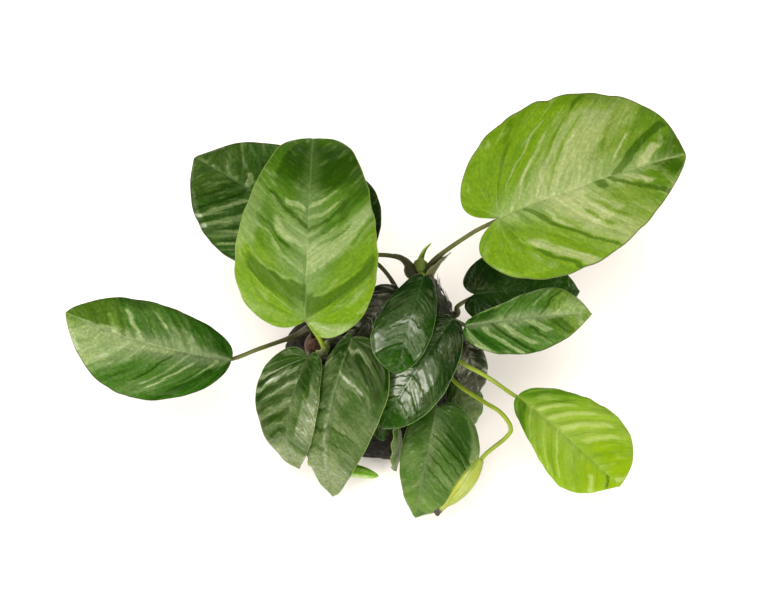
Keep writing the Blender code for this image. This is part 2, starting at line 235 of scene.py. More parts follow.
FINISHES = {
    "bright": Finish(
        (0.098, 0.178, 0.005), (0.116, 0.183, 0.020), (0.072, 0.142, 0.007), (0.205, 0.260, 0.105),
        (0.275, 0.31, 0.135), (0.07, 0.08, 0.03), "leaf_bright",
        sheen_patch=0.15, streak=0.3, roughness=0.32, wrinkle=0.9, film=0.25, grain=0.3,
    ),
    "fresh": Finish(
        (0.102, 0.186, 0.007), (0.056, 0.125, 0.008), (0.032, 0.082, 0.003), (0.130, 0.190, 0.070),
        (0.22, 0.28, 0.11), (0.15, 0.21, 0.04), "leaf_bright",
        sheen_patch=0.12, streak=0.35, roughness=0.32, wrinkle=0.9, film=0.35, grain=0.3,
    ),
    "young": Finish(
        (0.070, 0.160, 0.005), (0.145, 0.240, 0.007), (0.155, 0.250, 0.004), (0.140, 0.225, 0.022),
        (0.27, 0.34, 0.085), (0.16, 0.26, 0.03), "leaf_young",
        sheen_patch=0.2, streak=0.25, roughness=0.34, wrinkle=0.7, film=0.2, grain=0.12,
    ),
    "middle": Finish(
        (0.018, 0.070, 0.003), (0.034, 0.096, 0.007), (0.110, 0.180, 0.028), (0.190, 0.225, 0.125),
        (0.22, 0.28, 0.12), (0.035, 0.038, 0.016), "leaf_mid",
        streak=0.22, wrinkle=1.0, film=0.6, grain=0.45,
    ),
    "dark": Finish(
        (0.005, 0.018, 0.002), (0.009, 0.031, 0.002), (0.012, 0.044, 0.003), (0.011, 0.034, 0.005),
        (0.06, 0.09, 0.04), (0.12, 0.19, 0.06), "leaf_old", roughness=0.2, wrinkle=2.0, grain=0.6,
    ),
    "grey": Finish(
        (0.014, 0.042, 0.003), (0.032, 0.066, 0.011), (0.095, 0.135, 0.045), (0.050, 0.080, 0.025),
        (0.14, 0.17, 0.085), (0.13, 0.19, 0.04), "leaf_old",
        sheen_patch=0.3, streak=0.45, roughness=0.25, grain=0.4,
    ),
    "green": Finish(
        (0.020, 0.055, 0.006), (0.042, 0.092, 0.013), (0.075, 0.135, 0.022), (0.070, 0.105, 0.040),
        (0.13, 0.18, 0.065), (0.12, 0.18, 0.05), "leaf_old",
        sheen_patch=0.25, roughness=0.27, shine=0.07, wrinkle=1.6, grain=0.35,
    ),
    "sprout": Finish(
        (0.13, 0.30, 0.012), (0.13, 0.30, 0.012), (0.13, 0.30, 0.012), (0.16, 0.33, 0.03),
        (0.35, 0.45, 0.2), (0.4, 0.45, 0.25), "leaf_bright",
        streak=0.2, roughness=0.35, wrinkle=0.5, film=0.2, grain=0.2,
    ),
    "shaded": Finish(
        (0.012, 0.045, 0.003), (0.018, 0.052, 0.005), (0.030, 0.062, 0.008), (0.030, 0.070, 0.012),
        (0.13, 0.18, 0.065), (0.03, 0.033, 0.015), "leaf_old", streak=0.45, roughness=0.26,
    ),
    "aged": Finish(
        (0.010, 0.013, 0.006), (0.018, 0.021, 0.011), (0.028, 0.028, 0.020), (0.015, 0.019, 0.009),
        (0.20, 0.19, 0.18), (0.06, 0.06, 0.05), "leaf_old",
        sheen_patch=0.3, streak=0.9, roughness=0.25, shine=0.15, wrinkle=2.2, grain=0.8,
    ),
}


@dataclass
class Leaf:
    """One leaf. base is where its stalk meets the blade, and tip is the blade's point.

    Each side has its half width, how far its lobe reaches back past the base, its belly (below 0, the
    side is widest nearer the base), and how drawn out it is towards the tip.

    A half's bands are painted sheen and painted shade: lighter and darker stretches which run with the side
    veins, and where a band is lighter its coat shines more too. Each one is (reach at the midrib, reach at
    the edge, half breadth, from, to, tone). The reach is the vein's place between base and tip, from and to
    are shares of the half's width, and a tone above 0 is painted sheen, below 0 painted shade.
    """

    name: str
    base: tuple
    tip: tuple
    left: tuple  # with the tip ahead: (half width, lobe, belly, point)
    right: tuple
    root: tuple  # (which stem, share of its length, degrees round it from the top)
    finish: str
    via: tuple = ()  # points that the stalk passes through
    arch: float = 3  # height of the midrib's bow
    fold: float = 6  # degrees that each half rises from the midrib
    cup: float = 1.5  # how far the edges turn down
    roll: float = 0  # degrees about the midrib, left side up
    sweep: float = 0  # sideways bow of the midrib, to the left
    veins: int = 9  # side veins in each half
    quilt: float = 0.3  # height of the swellings between them
    wave: float = 0.7  # height of the blade's broad waves
    ripple: float = 0.35  # height of the waves along the edge
    ripples: float = 5
    groove: float = 0.32  # how deep the midrib lies
    crease: float = 0  # degrees that the halves rise towards the tip, more than fold
    crease_from: float = 0.6  # the vein, as a share of them all, from which they do
    left_bands: tuple = ()
    right_bands: tuple = ()


def bands(*rows):
    """Rows of hundredths, as shares."""
    return tuple(tuple(value / 100 for value in row) for row in rows)


# Each leaf's bands paint sheen, tone above 0, and shade, tone below 0, into its colour.
LEAVES = (
    Leaf(
        "leaf_01", (40, 34, 86), (102.5, 55.5, 88), (33.2, 12.2, 0, -0.15), (27, 12.2, -0.25, 0.5),
        ("stem", 0.93, -5), "bright", ((18.6, 28.5, 55.5), (31, 32.5, 74)), arch=4, fold=2, cup=1, veins=11,
        quilt=0.2, ripple=0.3, ripples=7, crease=3.5,
        left_bands=bands(
            (33, 30, 32, 0, 78, 55), (1, 0, 1.4, 35, 75, 60), (10, 8, 1.6, 20, 60, 50),
            (19, 17, 1.2, 10, 50, 50), (28, 28, 1.6, 4, 50, 60), (17, 15, 2.2, 50, 100, -90),
            (50, 46, 2.2, 40, 75, -80), (24, 24, 0.8, 10, 70, -60), (20, 20, 40, 93, 100, -40),
            (57, 64, 1.4, 25, 50, 80), (63, 82, 4.5, 0, 85, -150), (90, 95, 14, 10, 100, -60),
            (74, 90, 5, 8, 40, 120), (-5, -12, 2, 30, 90, -50),
        ),
        right_bands=bands(
            (-10, 5, 14, 0, 40, -50), (33, 38, 18, 0, 55, 80), (25, 32, 24, 60, 100, 50),
            (-4, 0, 6, 40, 95, 70), (13, 19, 2, 10, 100, -140), (18, 20, 1.4, 20, 42, 120),
            (40, 43, 2.2, 20, 70, -100), (31, 33, 1.6, 40, 65, -90), (52, 56, 4, 0, 12, -110),
            (58, 72, 2.6, 5, 100, -130), (66, 76, 3.5, 10, 55, 80), (86, 90, 10, 3, 90, -90),
            (-7, -5, 1.8, 62, 95, -120),
        ),
    ),
    Leaf(
        "leaf_02", (-23.5, 2, 76), (-22, 68.2, 72), (24.2, 4, -0.35, -0.3), (23.6, 7.5, -0.27, -0.45),
        ("stem", 0.12, -10), "fresh", ((-18, 0, 50), (-19.5, 0, 62)), arch=6, fold=3, cup=2, veins=10,
        quilt=0.22, wave=0.9, ripples=6, crease=5, crease_from=0.64,
        left_bands=bands(
            (25, 20, 40, 82, 100, 50), (85, 72, 27, 0, 72, -90), (54, 52, 2.8, 12, 40, 100),
            (45.5, 52, 2.4, 5, 70, -100), (36, 36, 7, 0, 50, 70), (30, 30, 2, 30, 75, -90),
            (26, 25, 1.5, 45, 75, 60), (20, 18, 6, 0, 40, 30), (12, -2, 10, 0, 80, -90),
            (17, 3, 1.2, 15, 70, 90), (2, -6, 1, 30, 75, 70), (-17, -17, 7, 10, 100, 25),
        ),
        right_bands=bands(
            (85, 65, 30, 0, 100, -90), (45, 42, 9, 55, 100, -60), (57, 56, 2.2, 5, 50, 90),
            (50, 48, 2, 4, 60, 80), (44, 44, 1.8, 0, 60, -100), (29, 24, 13, 0, 95, 75),
            (20, 20, 2, 70, 95, -70), (38, 37, 0.9, 10, 60, -60), (32, 30, 0.8, 10, 60, -50),
            (6, -6, 8.5, 0, 90, -95), (10, -2, 1.2, 20, 70, 70), (-25, -25, 6, 30, 100, 70),
            (-15, -10, 4, 75, 100, 40),
        ),
    ),
    Leaf(
        "leaf_03", (-12.5, 30, 62), (-64.5, 68.5, 54), (24.5, 6, 0, 0.8), (21, 6, 0, 0.8),
        ("stem", 0.92, 50), "shaded", ((12, 26.5, 51), (10, 29.2, 54), (4.5, 31, 57)), arch=5, quilt=0.45,
        left_bands=bands(
            (54, 49, 3, 25, 100, 90), (60, 56, 2, 10, 95, -80), (42, 38, 3.5, 30, 95, 110),
            (34, 33, 2, 20, 90, -60), (28, 30, 2.2, 30, 85, 80), (20, 17, 2, 40, 90, 100),
            (10, 8, 3, 40, 90, 40), (48, 44, 1.5, 30, 100, -50), (78, 74, 3, 10, 70, 35),
            (68, 66, 3, 10, 90, -60),
        ),
        right_bands=bands((60, 60, 3, 10, 30, 110), (75, 75, 15, 0, 80, 25), (50, 50, 5, 0, 60, -70)),
    ),
    Leaf(
        "leaf_04", (-9, 31.5, 53), (-9, 63, 54), (10, 3, 0, 0.4), (10.5, 3, 0, 0.4), ("branch", 0.75, 80),
        "dark", ((6.8, 21.8, 46.5), (0, 30.5, 50)),
    ),
    Leaf(
        "leaf_05", (-50, -3.7, 48), (-107, 12.3, 52), (19.8, 0.4, 0, 0.7), (14.7, 0.4, 0, 0.7),
        ("stem", 0.03, 40), "middle", ((-29, 6, 43.5), (-40, 1, 46.5)), sweep=3.3,
        left_bands=bands(
            (66, 72, 34, 0, 97, 80), (45, 45, 25, 0, 6, 90), (42, 38, 5, 60, 90, -50),
            (31, 28, 1.4, 15, 70, -90), (23, 22, 2, 10, 70, 50), (17, 18, 1.2, 25, 75, 90),
            (7, 5, 2, 10, 60, 80), (2, 5, 5, 40, 100, -70), (-12, -12, 10, 20, 100, -70),
        ),
        right_bands=bands(
            (25, 25, 22, 0, 50, 35), (52, 55, 3, 0, 70, 80), (62, 60, 2.2, 5, 90, -80),
            (67, 70, 3, 0, 60, 80), (80, 72, 3, 10, 90, -70), (88, 80, 30, 30, 100, -130),
            (43, 42, 1.5, 20, 90, -80), (34, 33, 2, 50, 85, 70), (5, 0, 12, 20, 100, -60),
            (50, 45, 30, 85, 100, -60),
        ),
    ),
    Leaf(
        "leaf_06", (-23.5, -4.5, 54), (-27.5, -34.5, 16), (10, 3, -0.1, 1.2), (13.4, 3, -0.55, -0.2),
        ("stem", 0.05, -60), "grey", arch=8, roll=14, sweep=-3, veins=8, quilt=0.8,
        left_bands=bands((30, 30, 40, 45, 100, 70), (5, 5, 20, 0, 50, -120), (80, 80, 20, 0, 100, 50)),
        right_bands=bands(
            (-2, -8, 2.5, 15, 100, 120), (6, 3, 2.5, 20, 95, 120), (16, 16, 2, 5, 70, 90),
            (30, 28, 2, 5, 60, 60), (1, -3, 3, 0, 90, -180), (11, 10, 3.5, 0, 100, -180),
            (23, 24, 4.5, 0, 100, -160), (38, 40, 6, 0, 100, -130), (53, 53, 4, 0, 70, -80),
            (75, 75, 25, 0, 100, 50),
        ),
    ),
    Leaf(
        "leaf_07", (-8.5, 1.2, 58), (-16, -43, 9), (18.5, 2.2, -0.48, 0.25), (8, 2, 0, 0.5),
        ("stem", 0.22, 0), "grey", arch=9, roll=8, sweep=-3, quilt=0.12,
        left_bands=bands(
            (10, 0, 8, 5, 80, -100), (-10, -15, 12, 10, 100, -110), (38, 25, 12, 30, 100, -35),
            (75, 75, 25, 0, 90, 50), (50, 50, 50, 0, 6, 35), (4, -4, 1.4, 5, 60, 110),
            (11, 6, 1.2, 10, 60, 100), (17, 10, 1, 5, 50, 90), (48, 36, 1.6, 5, 70, -80),
            (58, 46, 1.6, 5, 70, -80),
        ),
        right_bands=bands(
            (20, 20, 18, 15, 100, -60), (75, 75, 30, 0, 85, 60), (50, 50, 50, 0, 6, 35),
            (5, 0, 8, 0, 70, -100), (8, 4, 1.2, 5, 50, 130), (38, 30, 2, 2, 80, -100),
            (50, 42, 2, 2, 80, -100), (62, 54, 1.8, 2, 70, -90),
        ),
    ),
    Leaf(
        "leaf_08", (15.7, 19.2, 70), (6.3, -12.6, 62), (8.2, 1, 0.05, 0.4), (11.7, 1, 0.35, 0.4),
        ("branch", 0.8, -30), "dark", quilt=0.04, wave=0.25, groove=0.08,
        left_bands=bands(
            (54, 60, 22, 0, 85, 190), (74, 74, 3, 10, 90, -120), (44, 42, 1.4, 0, 45, -160),
            (52, 53, 1.6, 15, 90, -190), (62, 65, 1.4, 0, 60, -200),
        ),
        right_bands=bands(
            (58, 52, 20, 0, 95, 190), (61, 55, 1.6, 0, 80, -190), (49, 42, 1.4, 10, 50, -170),
            (69, 65, 1.4, 10, 90, -170),
        ),
    ),
    Leaf(
        "leaf_09", (25.2, 6.9, 60), (1.3, -25.7, 40), (12.2, 1.5, 0, 0.5), (10, 1.5, 0, 0.5),
        ("stem", 0.6, 0), "dark", arch=5, quilt=0.08, wave=0.3, groove=0.1,
        left_bands=bands(
            (42, 34, 20, 0, 55, 150), (66, 60, 16, 0, 75, 150), (50, 40, 2, 0, 80, -160),
            (62, 54, 1.8, 0, 80, -180), (72, 66, 1.4, 0, 80, -200),
        ),
        right_bands=bands(
            (55, 60, 22, 5, 80, 170), (40, 40, 3, 0, 90, -80), (50, 52, 1.2, 5, 80, -220),
            (58, 62, 1.4, 5, 80, -220), (68, 74, 1.4, 5, 80, -220),
        ),
    ),
    Leaf(
        "leaf_10", (20.6, -18, 38), (13.3, -50.5, 8), (18, 3.5, -0.25, 0.6), (9.3, 3, -0.25, 0.6),
        ("stem", 0.5, -70), "green", ((15, -9, 41),), arch=6, quilt=0.15,
        left_bands=bands(
            (2, 2, 35, 88, 95, 80), (10, 2, 1.5, 10, 80, -120), (18, 10, 1.5, 10, 80, -120),
            (26, 20, 1.5, 10, 80, -110), (35, 30, 1.5, 10, 80, -100), (45, 42, 1.5, 10, 70, -80),
            (95, 90, 10, 0, 100, -60),
        ),
        right_bands=bands((10, 10, 25, 10, 100, -60), (60, 60, 4, 10, 80, 40)),
    ),
    Leaf(
        "leaf_11", (7, -24.5, 37.5), (6.5, -34.5, 12), (3, 1, 0, 0.4), (3, 1, 0, 0.4), ("stem", 0.44, -60),
        "grey", ((6, -14, 40),), arch=1, roll=-60, veins=5, quilt=0.12,
    ),
    Leaf(
        "leaf_12", (1, -17.5, 41), (2, -28, 31), (3.2, 1, 0, 0.2), (4.5, 1, 0, 0.2), ("stem", 0.36, -70),
        "dark", ((0.5, -10, 42),), arch=1, veins=5, quilt=0.12,
        # Both halves are painted darker all over: painted shade, as this small leaf hangs in the shade
        # under the leaf above it.
        left_bands=bands((50, 50, 70, 0, 100, -150)),
        right_bands=bands((50, 50, 70, 0, 100, -150)),
    ),
    Leaf(
        "leaf_13", (30, 5, 60), (72.6, 9, 61), (10, 0.4, 0.42, 1.5), (12.9, 2.2, -0.1, 0.8),
        ("stem", 0.72, -15), "middle", ((26.5, 9.5, 51),), arch=2, fold=12, quilt=0.35,
        left_bands=bands(
            (80, 85, 20, 0, 100, 55), (58, 60, 2.5, 10, 90, -90), (47, 50, 3, 40, 90, 50),
            (10, 20, 35, 90, 100, 50), (10, 10, 15, 20, 70, -110), (30, 32, 2, 10, 90, -70),
        ),
        right_bands=bands(
            (-15, -12, 10, 30, 100, 70), (3, 0, 3, 35, 100, -80), (10, 12, 4, 20, 95, 80),
            (19, 22, 3, 10, 100, -110), (27, 31, 4.5, 12, 75, 100), (46, 60, 6.5, 10, 55, 100),
            (42, 48, 3, 35, 70, -120), (38, 42, 3, 60, 90, 50), (68, 70, 8, 25, 90, -120),
            (92, 85, 6, 0, 100, 60),
        ),
    ),
    Leaf(
        "leaf_14", (33.7, 19.4, 50), (70.4, 21.8, 46), (16, 5, -0.1, 0.7), (14.5, 5, -0.1, 0.7),
        ("stem", 0.77, -80), "dark", ((28, 16.5, 46),), arch=2, quilt=0.12, wave=0.4,
    ),
    Leaf(
        "leaf_15", (48, -16, 46), (82, -46.5, 42), (17.2, 0.5, 0.3, 0), (14.3, 0.5, 0.3, 1.5),
        ("stem", 0.675, -70), "young", ((23.5, 1.5, 49), (28.8, -5.2, 50.3), (37, -9.5, 48.5)), quilt=0.35,
        ripple=0.4, ripples=7,
        left_bands=bands(
            (0, 0, 9, 10, 100, -30), (17, 15, 4, 10, 60, 70), (22, 21, 1.2, 10, 90, -30),
            (27, 27, 4, 10, 70, 80), (33, 35, 1.5, 10, 90, -30), (39, 40, 4.5, 10, 75, 80),
            (47, 48, 1.5, 5, 90, -30), (54, 53, 4.5, 20, 75, 70), (60, 60, 1.5, 10, 80, -30),
            (70, 68, 1.5, 10, 80, -30), (94, 95, 3, 20, 90, 100),
        ),
        right_bands=bands(
            (5, 5, 6, 10, 100, -70), (13, 12, 2, 0, 100, 40), (20, 19, 1.5, 10, 100, -30),
            (26, 26, 2, 5, 90, 50), (33, 33, 1.5, 20, 100, -30), (38, 38, 2.5, 0, 80, 60),
            (47, 46, 1.5, 10, 100, -30), (52, 52, 2, 30, 100, 40), (58, 58, 3, 20, 80, -30),
            (72, 72, 4, 60, 100, 80), (88, 88, 3, 20, 90, -80),
        ),
    ),
    Leaf(
        "leaf_16", (29.5, 4.4, 50), (35.3, -10.8, 33), (5.6, 1, 0, 0.4), (6.5, 1, 0, 0.4),
        ("stem", 0.71, -80), "aged", ((28, 8.5, 46),), arch=2, veins=6, quilt=0.2,
    ),
    Leaf(
        "leaf_17", (27, -7, 33), (34.4, -17.8, 14), (7, 1, 0, 0.4), (6.5, 1, 0, 0.4), ("stem", 0.6, -90),
        "grey", ((22, -5, 37),), arch=2, veins=6, quilt=0.2,
    ),
    Leaf(
        "leaf_18", (7.4, 18.5, 54), (-9.3, 1.8, 51), (8, 2, 0, 0.4), (9, 2, 0, 0.4), ("branch", 0.35, 40),
        "aged", arch=2, veins=7,
    ),
    Leaf(
        "leaf_19", (-20, -32, 14), (0.4, -34.4, 4), (2.4, 1, 0, 0.2), (2.6, 1, 0, 0.2), ("stem", 0.17, -90),
        "sprout", ((-14, -10, 36), (-16, -20, 28), (-24, -32, 18)), arch=2, veins=5, quilt=0.12, ripple=0.1,
        right_bands=bands((50, 50, 60, 70, 100, 90)),
    ),
)


@dataclass
class Sheath:
    """A thin sheet curled round the foot of a stalk or of the new leaf, split along its far side."""

    name: str
    path: tuple
    low: float  # its radius at its foot
    high: float  # and at its tip
    opening: float  # degrees that it reaches round to each side
    facing: Vector  # the side that its middle is on
    skin: str


SHEATHS = (
    Sheath(
        "new_leaf_wrap", ((15.2, 26.5, 47), (14.9, 28.2, 51), (15.1, 30.4, 55.5), (15.6, 31.4, 58)),
        2.9, 1.7, 115, Vector((-0.1, -1, 0.2)), "lime",
    ),
    Sheath(
        "leaf_01_wrap", ((16.6, 25.8, 48), (17.9, 27.4, 52.5), (20.8, 29.2, 58.5), (24.5, 30.6, 64.5)),
        2.6, 1.1, 95, Vector((0.7, -0.7, -0.3)), "pale",
    ),
    Sheath(
        "leaf_03_wrap", ((13.6, 24.8, 48), (12, 26.5, 51.5), (9.2, 29.3, 54.6), (5, 31, 57)),
        2.8, 1.2, 100, Vector((-0.3, 0.5, 0.9)), "olive",
    ),
    Sheath(
        "leaf_08_wrap", ((11, 19.5, 47), (11.8, 20.5, 52), (13.2, 21, 60)),
        2.2, 1.2, 100, Vector((-0.8, 0.4, 0.3)), "olive",
    ),
    Sheath(
        "leaf_02_wrap", ((-19.2, 1.4, 44), (-18.2, 0.2, 48.5), (-18.6, 0, 55)),
        2.2, 1.1, 100, Vector((0.4, -1, 0.1)), "lime",
    ),
)
SHEATH_SKINS = {  # (foot, tip, free edges)
    "lime": ((0.10, 0.16, 0.02), (0.14, 0.20, 0.03), (0.26, 0.32, 0.08)),
    "pale": ((0.20, 0.22, 0.07), (0.09, 0.10, 0.035), (0.20, 0.22, 0.12)),
    "olive": ((0.018, 0.017, 0.007), (0.050, 0.050, 0.014), (0.13, 0.15, 0.02)),
}


@dataclass
class Root:
    """A root that runs down over the stone, through (compass, height) degrees from the stone's middle."""

    name: str
    start: tuple  # (which stem, share of its length, degrees round it from the top)
    over: tuple
    radius: float = 0.9


ROOTS = (
    Root("root_01", ("stem", 0.02, -110), ((207, 50), (212, 35), (216, 20), (214, 5))),
    Root("root_02", ("stem", 0.05, 110), ((172, 55), (162, 40), (158, 25), (162, 10))),
    Root("root_03", ("stem", 0.3, -115), ((257, 62), (262, 45), (258, 30), (262, 15), (259, 0)), 1.0),
    Root("root_04", ("stem", 0.54, -125), ((298, 62), (302, 45), (306, 30), (302, 14))),
    Root("root_05", ("branch", 0.9, 110), ((116, 56), (122, 42), (119, 28), (124, 14), (120, 2)), 1.0),
    Root("root_06", ("stem", 0.82, -110), ((40, 44), (37, 36), (34, 27), (38, 18), (33, 6))),
)


# ---------------- shapes


def smooth_path(points, steps, leaving=None, arriving=None):
    """Points along a smooth curve through the given ones, steps to each stretch.

    leaving and arriving are the directions that it has at its two ends, where they matter.
    """
    points = [Vector(p) for p in points]
    before, after = 2 * points[0] - points[1], 2 * points[-1] - points[-2]
    if leaving:
        before = points[1] - leaving * 2 * (points[1] - points[0]).length
    if arriving:
        after = points[-2] + arriving * 2 * (points[-1] - points[-2]).length
    ends = [before, *points, after]
    curve = []
    for a, b, c, d in zip(ends, ends[1:], ends[2:], ends[3:]):
        for i in range(steps):
            u = i / steps
            bend = (2 * a - 5 * b + 4 * c - d) * u**2 + (3 * b - a - 3 * c + d) * u**3
            curve.append(0.5 * (2 * b + (c - a) * u + bend))
    return [*curve, points[-1]]


def stretches(path):
    return [(b - a).length for a, b in zip(path, path[1:])]


def at_share(path, share):
    """(point, direction) at a share of a path's length."""
    lengths = stretches(path)
    left = share * sum(lengths)
    for a, b, length in zip(path, path[1:], lengths):
        if left <= length:
            break
        left -= length
    return a.lerp(b, min(1, left / length)), (b - a).normalized()


def smooth_step(low, high, value):
    share = min(1.0, max(0.0, (value - low) / (high - low)))
    return share * share * (3 - 2 * share)


def mapped_grid(rows, columns, place, marks):
    """A closed skin: a grid whose point at (row, column) is moved to place(row, column), then sewn.

    place gives the point and then one value for each of the named marks, which the materials read.
    """
    bm = bmesh.new()
    layers = [bm.verts.layers.float.new(name) for name in marks]
    bmesh.ops.create_grid(bm, x_segments=rows, y_segments=columns, size=1)
    for vertex in bm.verts:
        row = round((vertex.co.x + 1) / 2 * rows)
        column = round((vertex.co.y + 1) / 2 * columns)
        point, *values = place(row, column)
        vertex.co = point * MM
        for layer, value in zip(layers, values):
            vertex[layer] = value
    bmesh.ops.remove_doubles(bm, verts=bm.verts, dist=1e-7)
    bmesh.ops.dissolve_degenerate(bm, dist=1e-7, edges=bm.edges)
    bmesh.ops.recalc_face_normals(bm, faces=bm.faces)
    if bm.calc_volume(signed=True) < 0:
        bmesh.ops.reverse_faces(bm, faces=bm.faces)
    return bm


def sheet_column(column, count):
    """(which of a sheet's columns of points, on its back) where the back's columns run the other way."""
    column %= 2 * count
    back = column >= count
    return (2 * count - 1 - column if back else column), back


def linked(name, data):
    """A new object in the scene."""
    thing = bpy.data.objects.new(name, data)
    bpy.context.scene.collection.objects.link(thing)
    return thing


def mesh_of(name, bm):
    mesh = bpy.data.meshes.new(name)
    bm.to_mesh(mesh)
    bm.free()
    return mesh


def add_piece(name, bm, materials, slot, *nodes):
    """A finished piece that rides on the plant and stands for the given nodes of the frame."""
    mesh = mesh_of(name, bm)
    mesh.shade_smooth()
    for material in materials:
        mesh.materials.append(material)
    piece = linked(name, mesh)
    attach(piece, BODY)
    if nodes:
        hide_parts(*nodes)


def tube(path, radius, sides):
    """A closed bar along a path. radius takes the share of its length and the angle round it."""
    rows = len(path) + 1
    lengths = stretches(path)
    total = sum(lengths)
    shares = [0.0]
    for length in lengths:
        shares.append(shares[-1] + length / total)
    frames = []
    side = None
    for i in range(len(path)):
        along = (path[min(i + 1, len(path) - 1)] - path[max(i - 1, 0)]).normalized()
        if side is None:
            side = along.orthogonal().normalized()
        side = (side - along * side.dot(along)).normalized()
        frames.append((side.copy(), along.cross(side)))

    def place(row, column):
        if row in (0, rows):
            return path[0 if row == 0 else -1], 0.0 if row == 0 else 1.0, 0.0
        i = row - 1
        angle = 2 * math.pi * (column % sides) / sides
        a, b = frames[i]
        out = a * math.cos(angle) + b * math.sin(angle)
        return path[i] + out * radius(shares[i], angle), shares[i], math.sin(angle)

    return mapped_grid(rows, sides, place, ("along", "round"))


# ---------------- the stone


def stone_form(direction):
    """The stone's surface in a direction from its middle, before it is turned and moved to its place."""
    away = Vector(a * b for a, b in zip(direction, STONE_HALF))
    lumps = sum(height * noise.noise(away / size) for height, size in STONE_LUMPS)
    point = away + direction * lumps
    for way, distance in STONE_CHIPS:
        way = way.normalized()
        past = point.dot(way) - distance
        if past > 0:
            point -= way * past * STONE_CHIP_DEPTH
    return point


def pit_depth(point):
    """How deep the gas holes of the lava are at a point of its surface."""
    deep = 0.0
    for depth, spacing, opening in STONE_PITS:
        nearest = noise.voronoi(point / spacing)[0][0]
        patchy = smooth_step(-0.25, 0.25, noise.noise(point / (PIT_PATCH * spacing)))
        deep = max(deep, depth * patchy * smooth_step(opening, opening * PIT_FLOOR, nearest))
    return deep


def add_stone(material):
    bm = bmesh.new()
    pits = bm.verts.layers.float.new("pit")
    bmesh.ops.create_icosphere(bm, subdivisions=STONE_SPLITS, radius=1)
    for vertex in bm.verts:
        direction = vertex.co.normalized()
        point = stone_form(direction)
        depth = pit_depth(point)
        vertex[pits] = depth
        grain = STONE_GRAIN * noise.fractal(point / STONE_GRAIN_SIZE, 1, 2, 3)
        point += direction * (grain - STONE_GRAIN - depth)
        vertex.co = (STONE_TURN @ point + STONE_MIDDLE) * MM
    everything = [*bm.verts, *bm.edges, *bm.faces]
    cut = bmesh.ops.bisect_plane(
        bm, geom=everything, dist=1e-6, plane_co=(0, 0, 0), plane_no=(0, 0, -1), clear_outer=True
    )
    rim = [e for e in cut["geom_cut"] if isinstance(e, bmesh.types.BMEdge)]
    bmesh.ops.contextual_create(bm, geom=rim)
    bmesh.ops.recalc_face_normals(bm, faces=bm.faces)
    add_piece("stone_rough", bm, [material], "stone", "stone")


# ---------------- the stem


# The solids' own paths, on which roots and stalks find their places, and finer ones for the skins
STEMS = {
    "stem": (smooth_path(STEM_PATH, 3), STEM_RADIUS),
    "branch": (smooth_path(BRANCH_PATH, 4), BRANCH_RADIUS),
}
FINE_STEMS = {"stem": smooth_path(STEM_PATH, 26), "branch": smooth_path(BRANCH_PATH, 30)}


def stem_radius(full, length, seed):
    """Rounded ends, a raised scar at each ring, a few knobs, and a fine grain."""

    def radius(share, angle):
        end = min(share, 1 - share) * length
        rounding = math.sqrt(max(0.0, 1 - max(0.0, 1 - end / full) ** 2))
        place = share * length / STEM_RING + STEM_RING_WANDER * math.sin(angle + seed)
        scar = (place % 1) ** 3 - 0.4
        around = Vector((math.cos(angle), math.sin(angle), share * length / full))
        knobs = STEM_KNOBS * max(0.0, noise.noise(around * 1.6 + UP * seed)) ** 2
        skin = STEM_SCAR * scar + knobs + STEM_GRAIN * noise.fractal(around * 4, 1, 2, 3)
        return max(0.5, (full - STEM_INSET) * (STEM_END + (1 - STEM_END) * rounding) + skin * rounding)

    return radius


def add_stems(material):
    for seed, (name, path) in enumerate(FINE_STEMS.items()):
        node = "rhizome_" + name
        bm = tube(path, stem_radius(STEMS[name][1], sum(stretches(path)), seed), STEM_SIDES)
        add_piece(node + "_skin", bm, [material], "rhizome", node)


def on_stem(which, share, turn):
    """(point, outward direction) on a stem's skin: turn is in degrees from its top, to its left."""
    path, full = STEMS[which]
    centre, along = at_share(path, share)
    top = (UP - along * UP.dot(along)).normalized()
    left = top.cross(along)
    turn = math.radians(turn)
    out = top * math.cos(turn) + left * math.sin(turn)
    return centre + out * (full + STEM_RING_DEPTH + GAP), out


def add_fibres(material):
    """Dry strands of old sheaths that lie on the stem, joined in one mesh."""
    draw = random.Random(7)
    joined = bmesh.new()
    for _ in range(FIBRES):
        which = draw.choice(("stem", "stem", "branch"))
        start, turn = draw.uniform(*FIBRE_STARTS), draw.uniform(*FIBRE_TURNS)
        reach, drift = draw.uniform(*FIBRE_REACHES), draw.uniform(*FIBRE_DRIFTS)
        lift = draw.uniform(*FIBRE_LIFTS)
        points = []
        for i in range(FIBRE_STEPS + 1):
            u = i / FIBRE_STEPS
            point, out = on_stem(which, min(0.99, start + reach * u), turn + drift * u)
            points.append(point + out * (lift * u**2 - FIBRE_DEPTH))
        thick = draw.uniform(*FIBRE_RADII)
        path = smooth_path(points, FIBRE_STEPS)
        bm = tube(path, lambda share, angle: thick * (1 - 0.8 * share), FIBRE_SIDES)
        strand = mesh_of("strand", bm)
        joined.from_mesh(strand)
        bpy.data.meshes.remove(strand)
    add_piece("rhizome_fibres", joined, [material], "root")


# ---------------- blades


def blade_frame(leaf):
    """(base, length, midrib direction, left direction, upward normal) of a blade."""
    base, tip = Vector(leaf.base), Vector(leaf.tip)
    along = (tip - base).normalized()
    normal = (UP - along * UP.dot(along)).normalized()
    normal = Matrix.Rotation(math.radians(leaf.roll), 3, along) @ normal
    return base, (tip - base).length, along, normal.cross(along), normal


def vein_at(leaf, length, x, y):
    """Which side vein passes a point, from 0 at the blade's base to leaf.veins at its tip.

    The veins leave the midrib at a slant and bend forward. Below 0 they fan out into the lobes.
    """
    half = max(leaf.left[0], leaf.right[0])
    out = abs(y)
    start = x - out * (VEIN_LEAN + VEIN_BEND * out / half)
    if start >= 0:
        return leaf.veins * start / length
    return (90 - math.degrees(math.atan2(out, start))) / LOBE_FAN


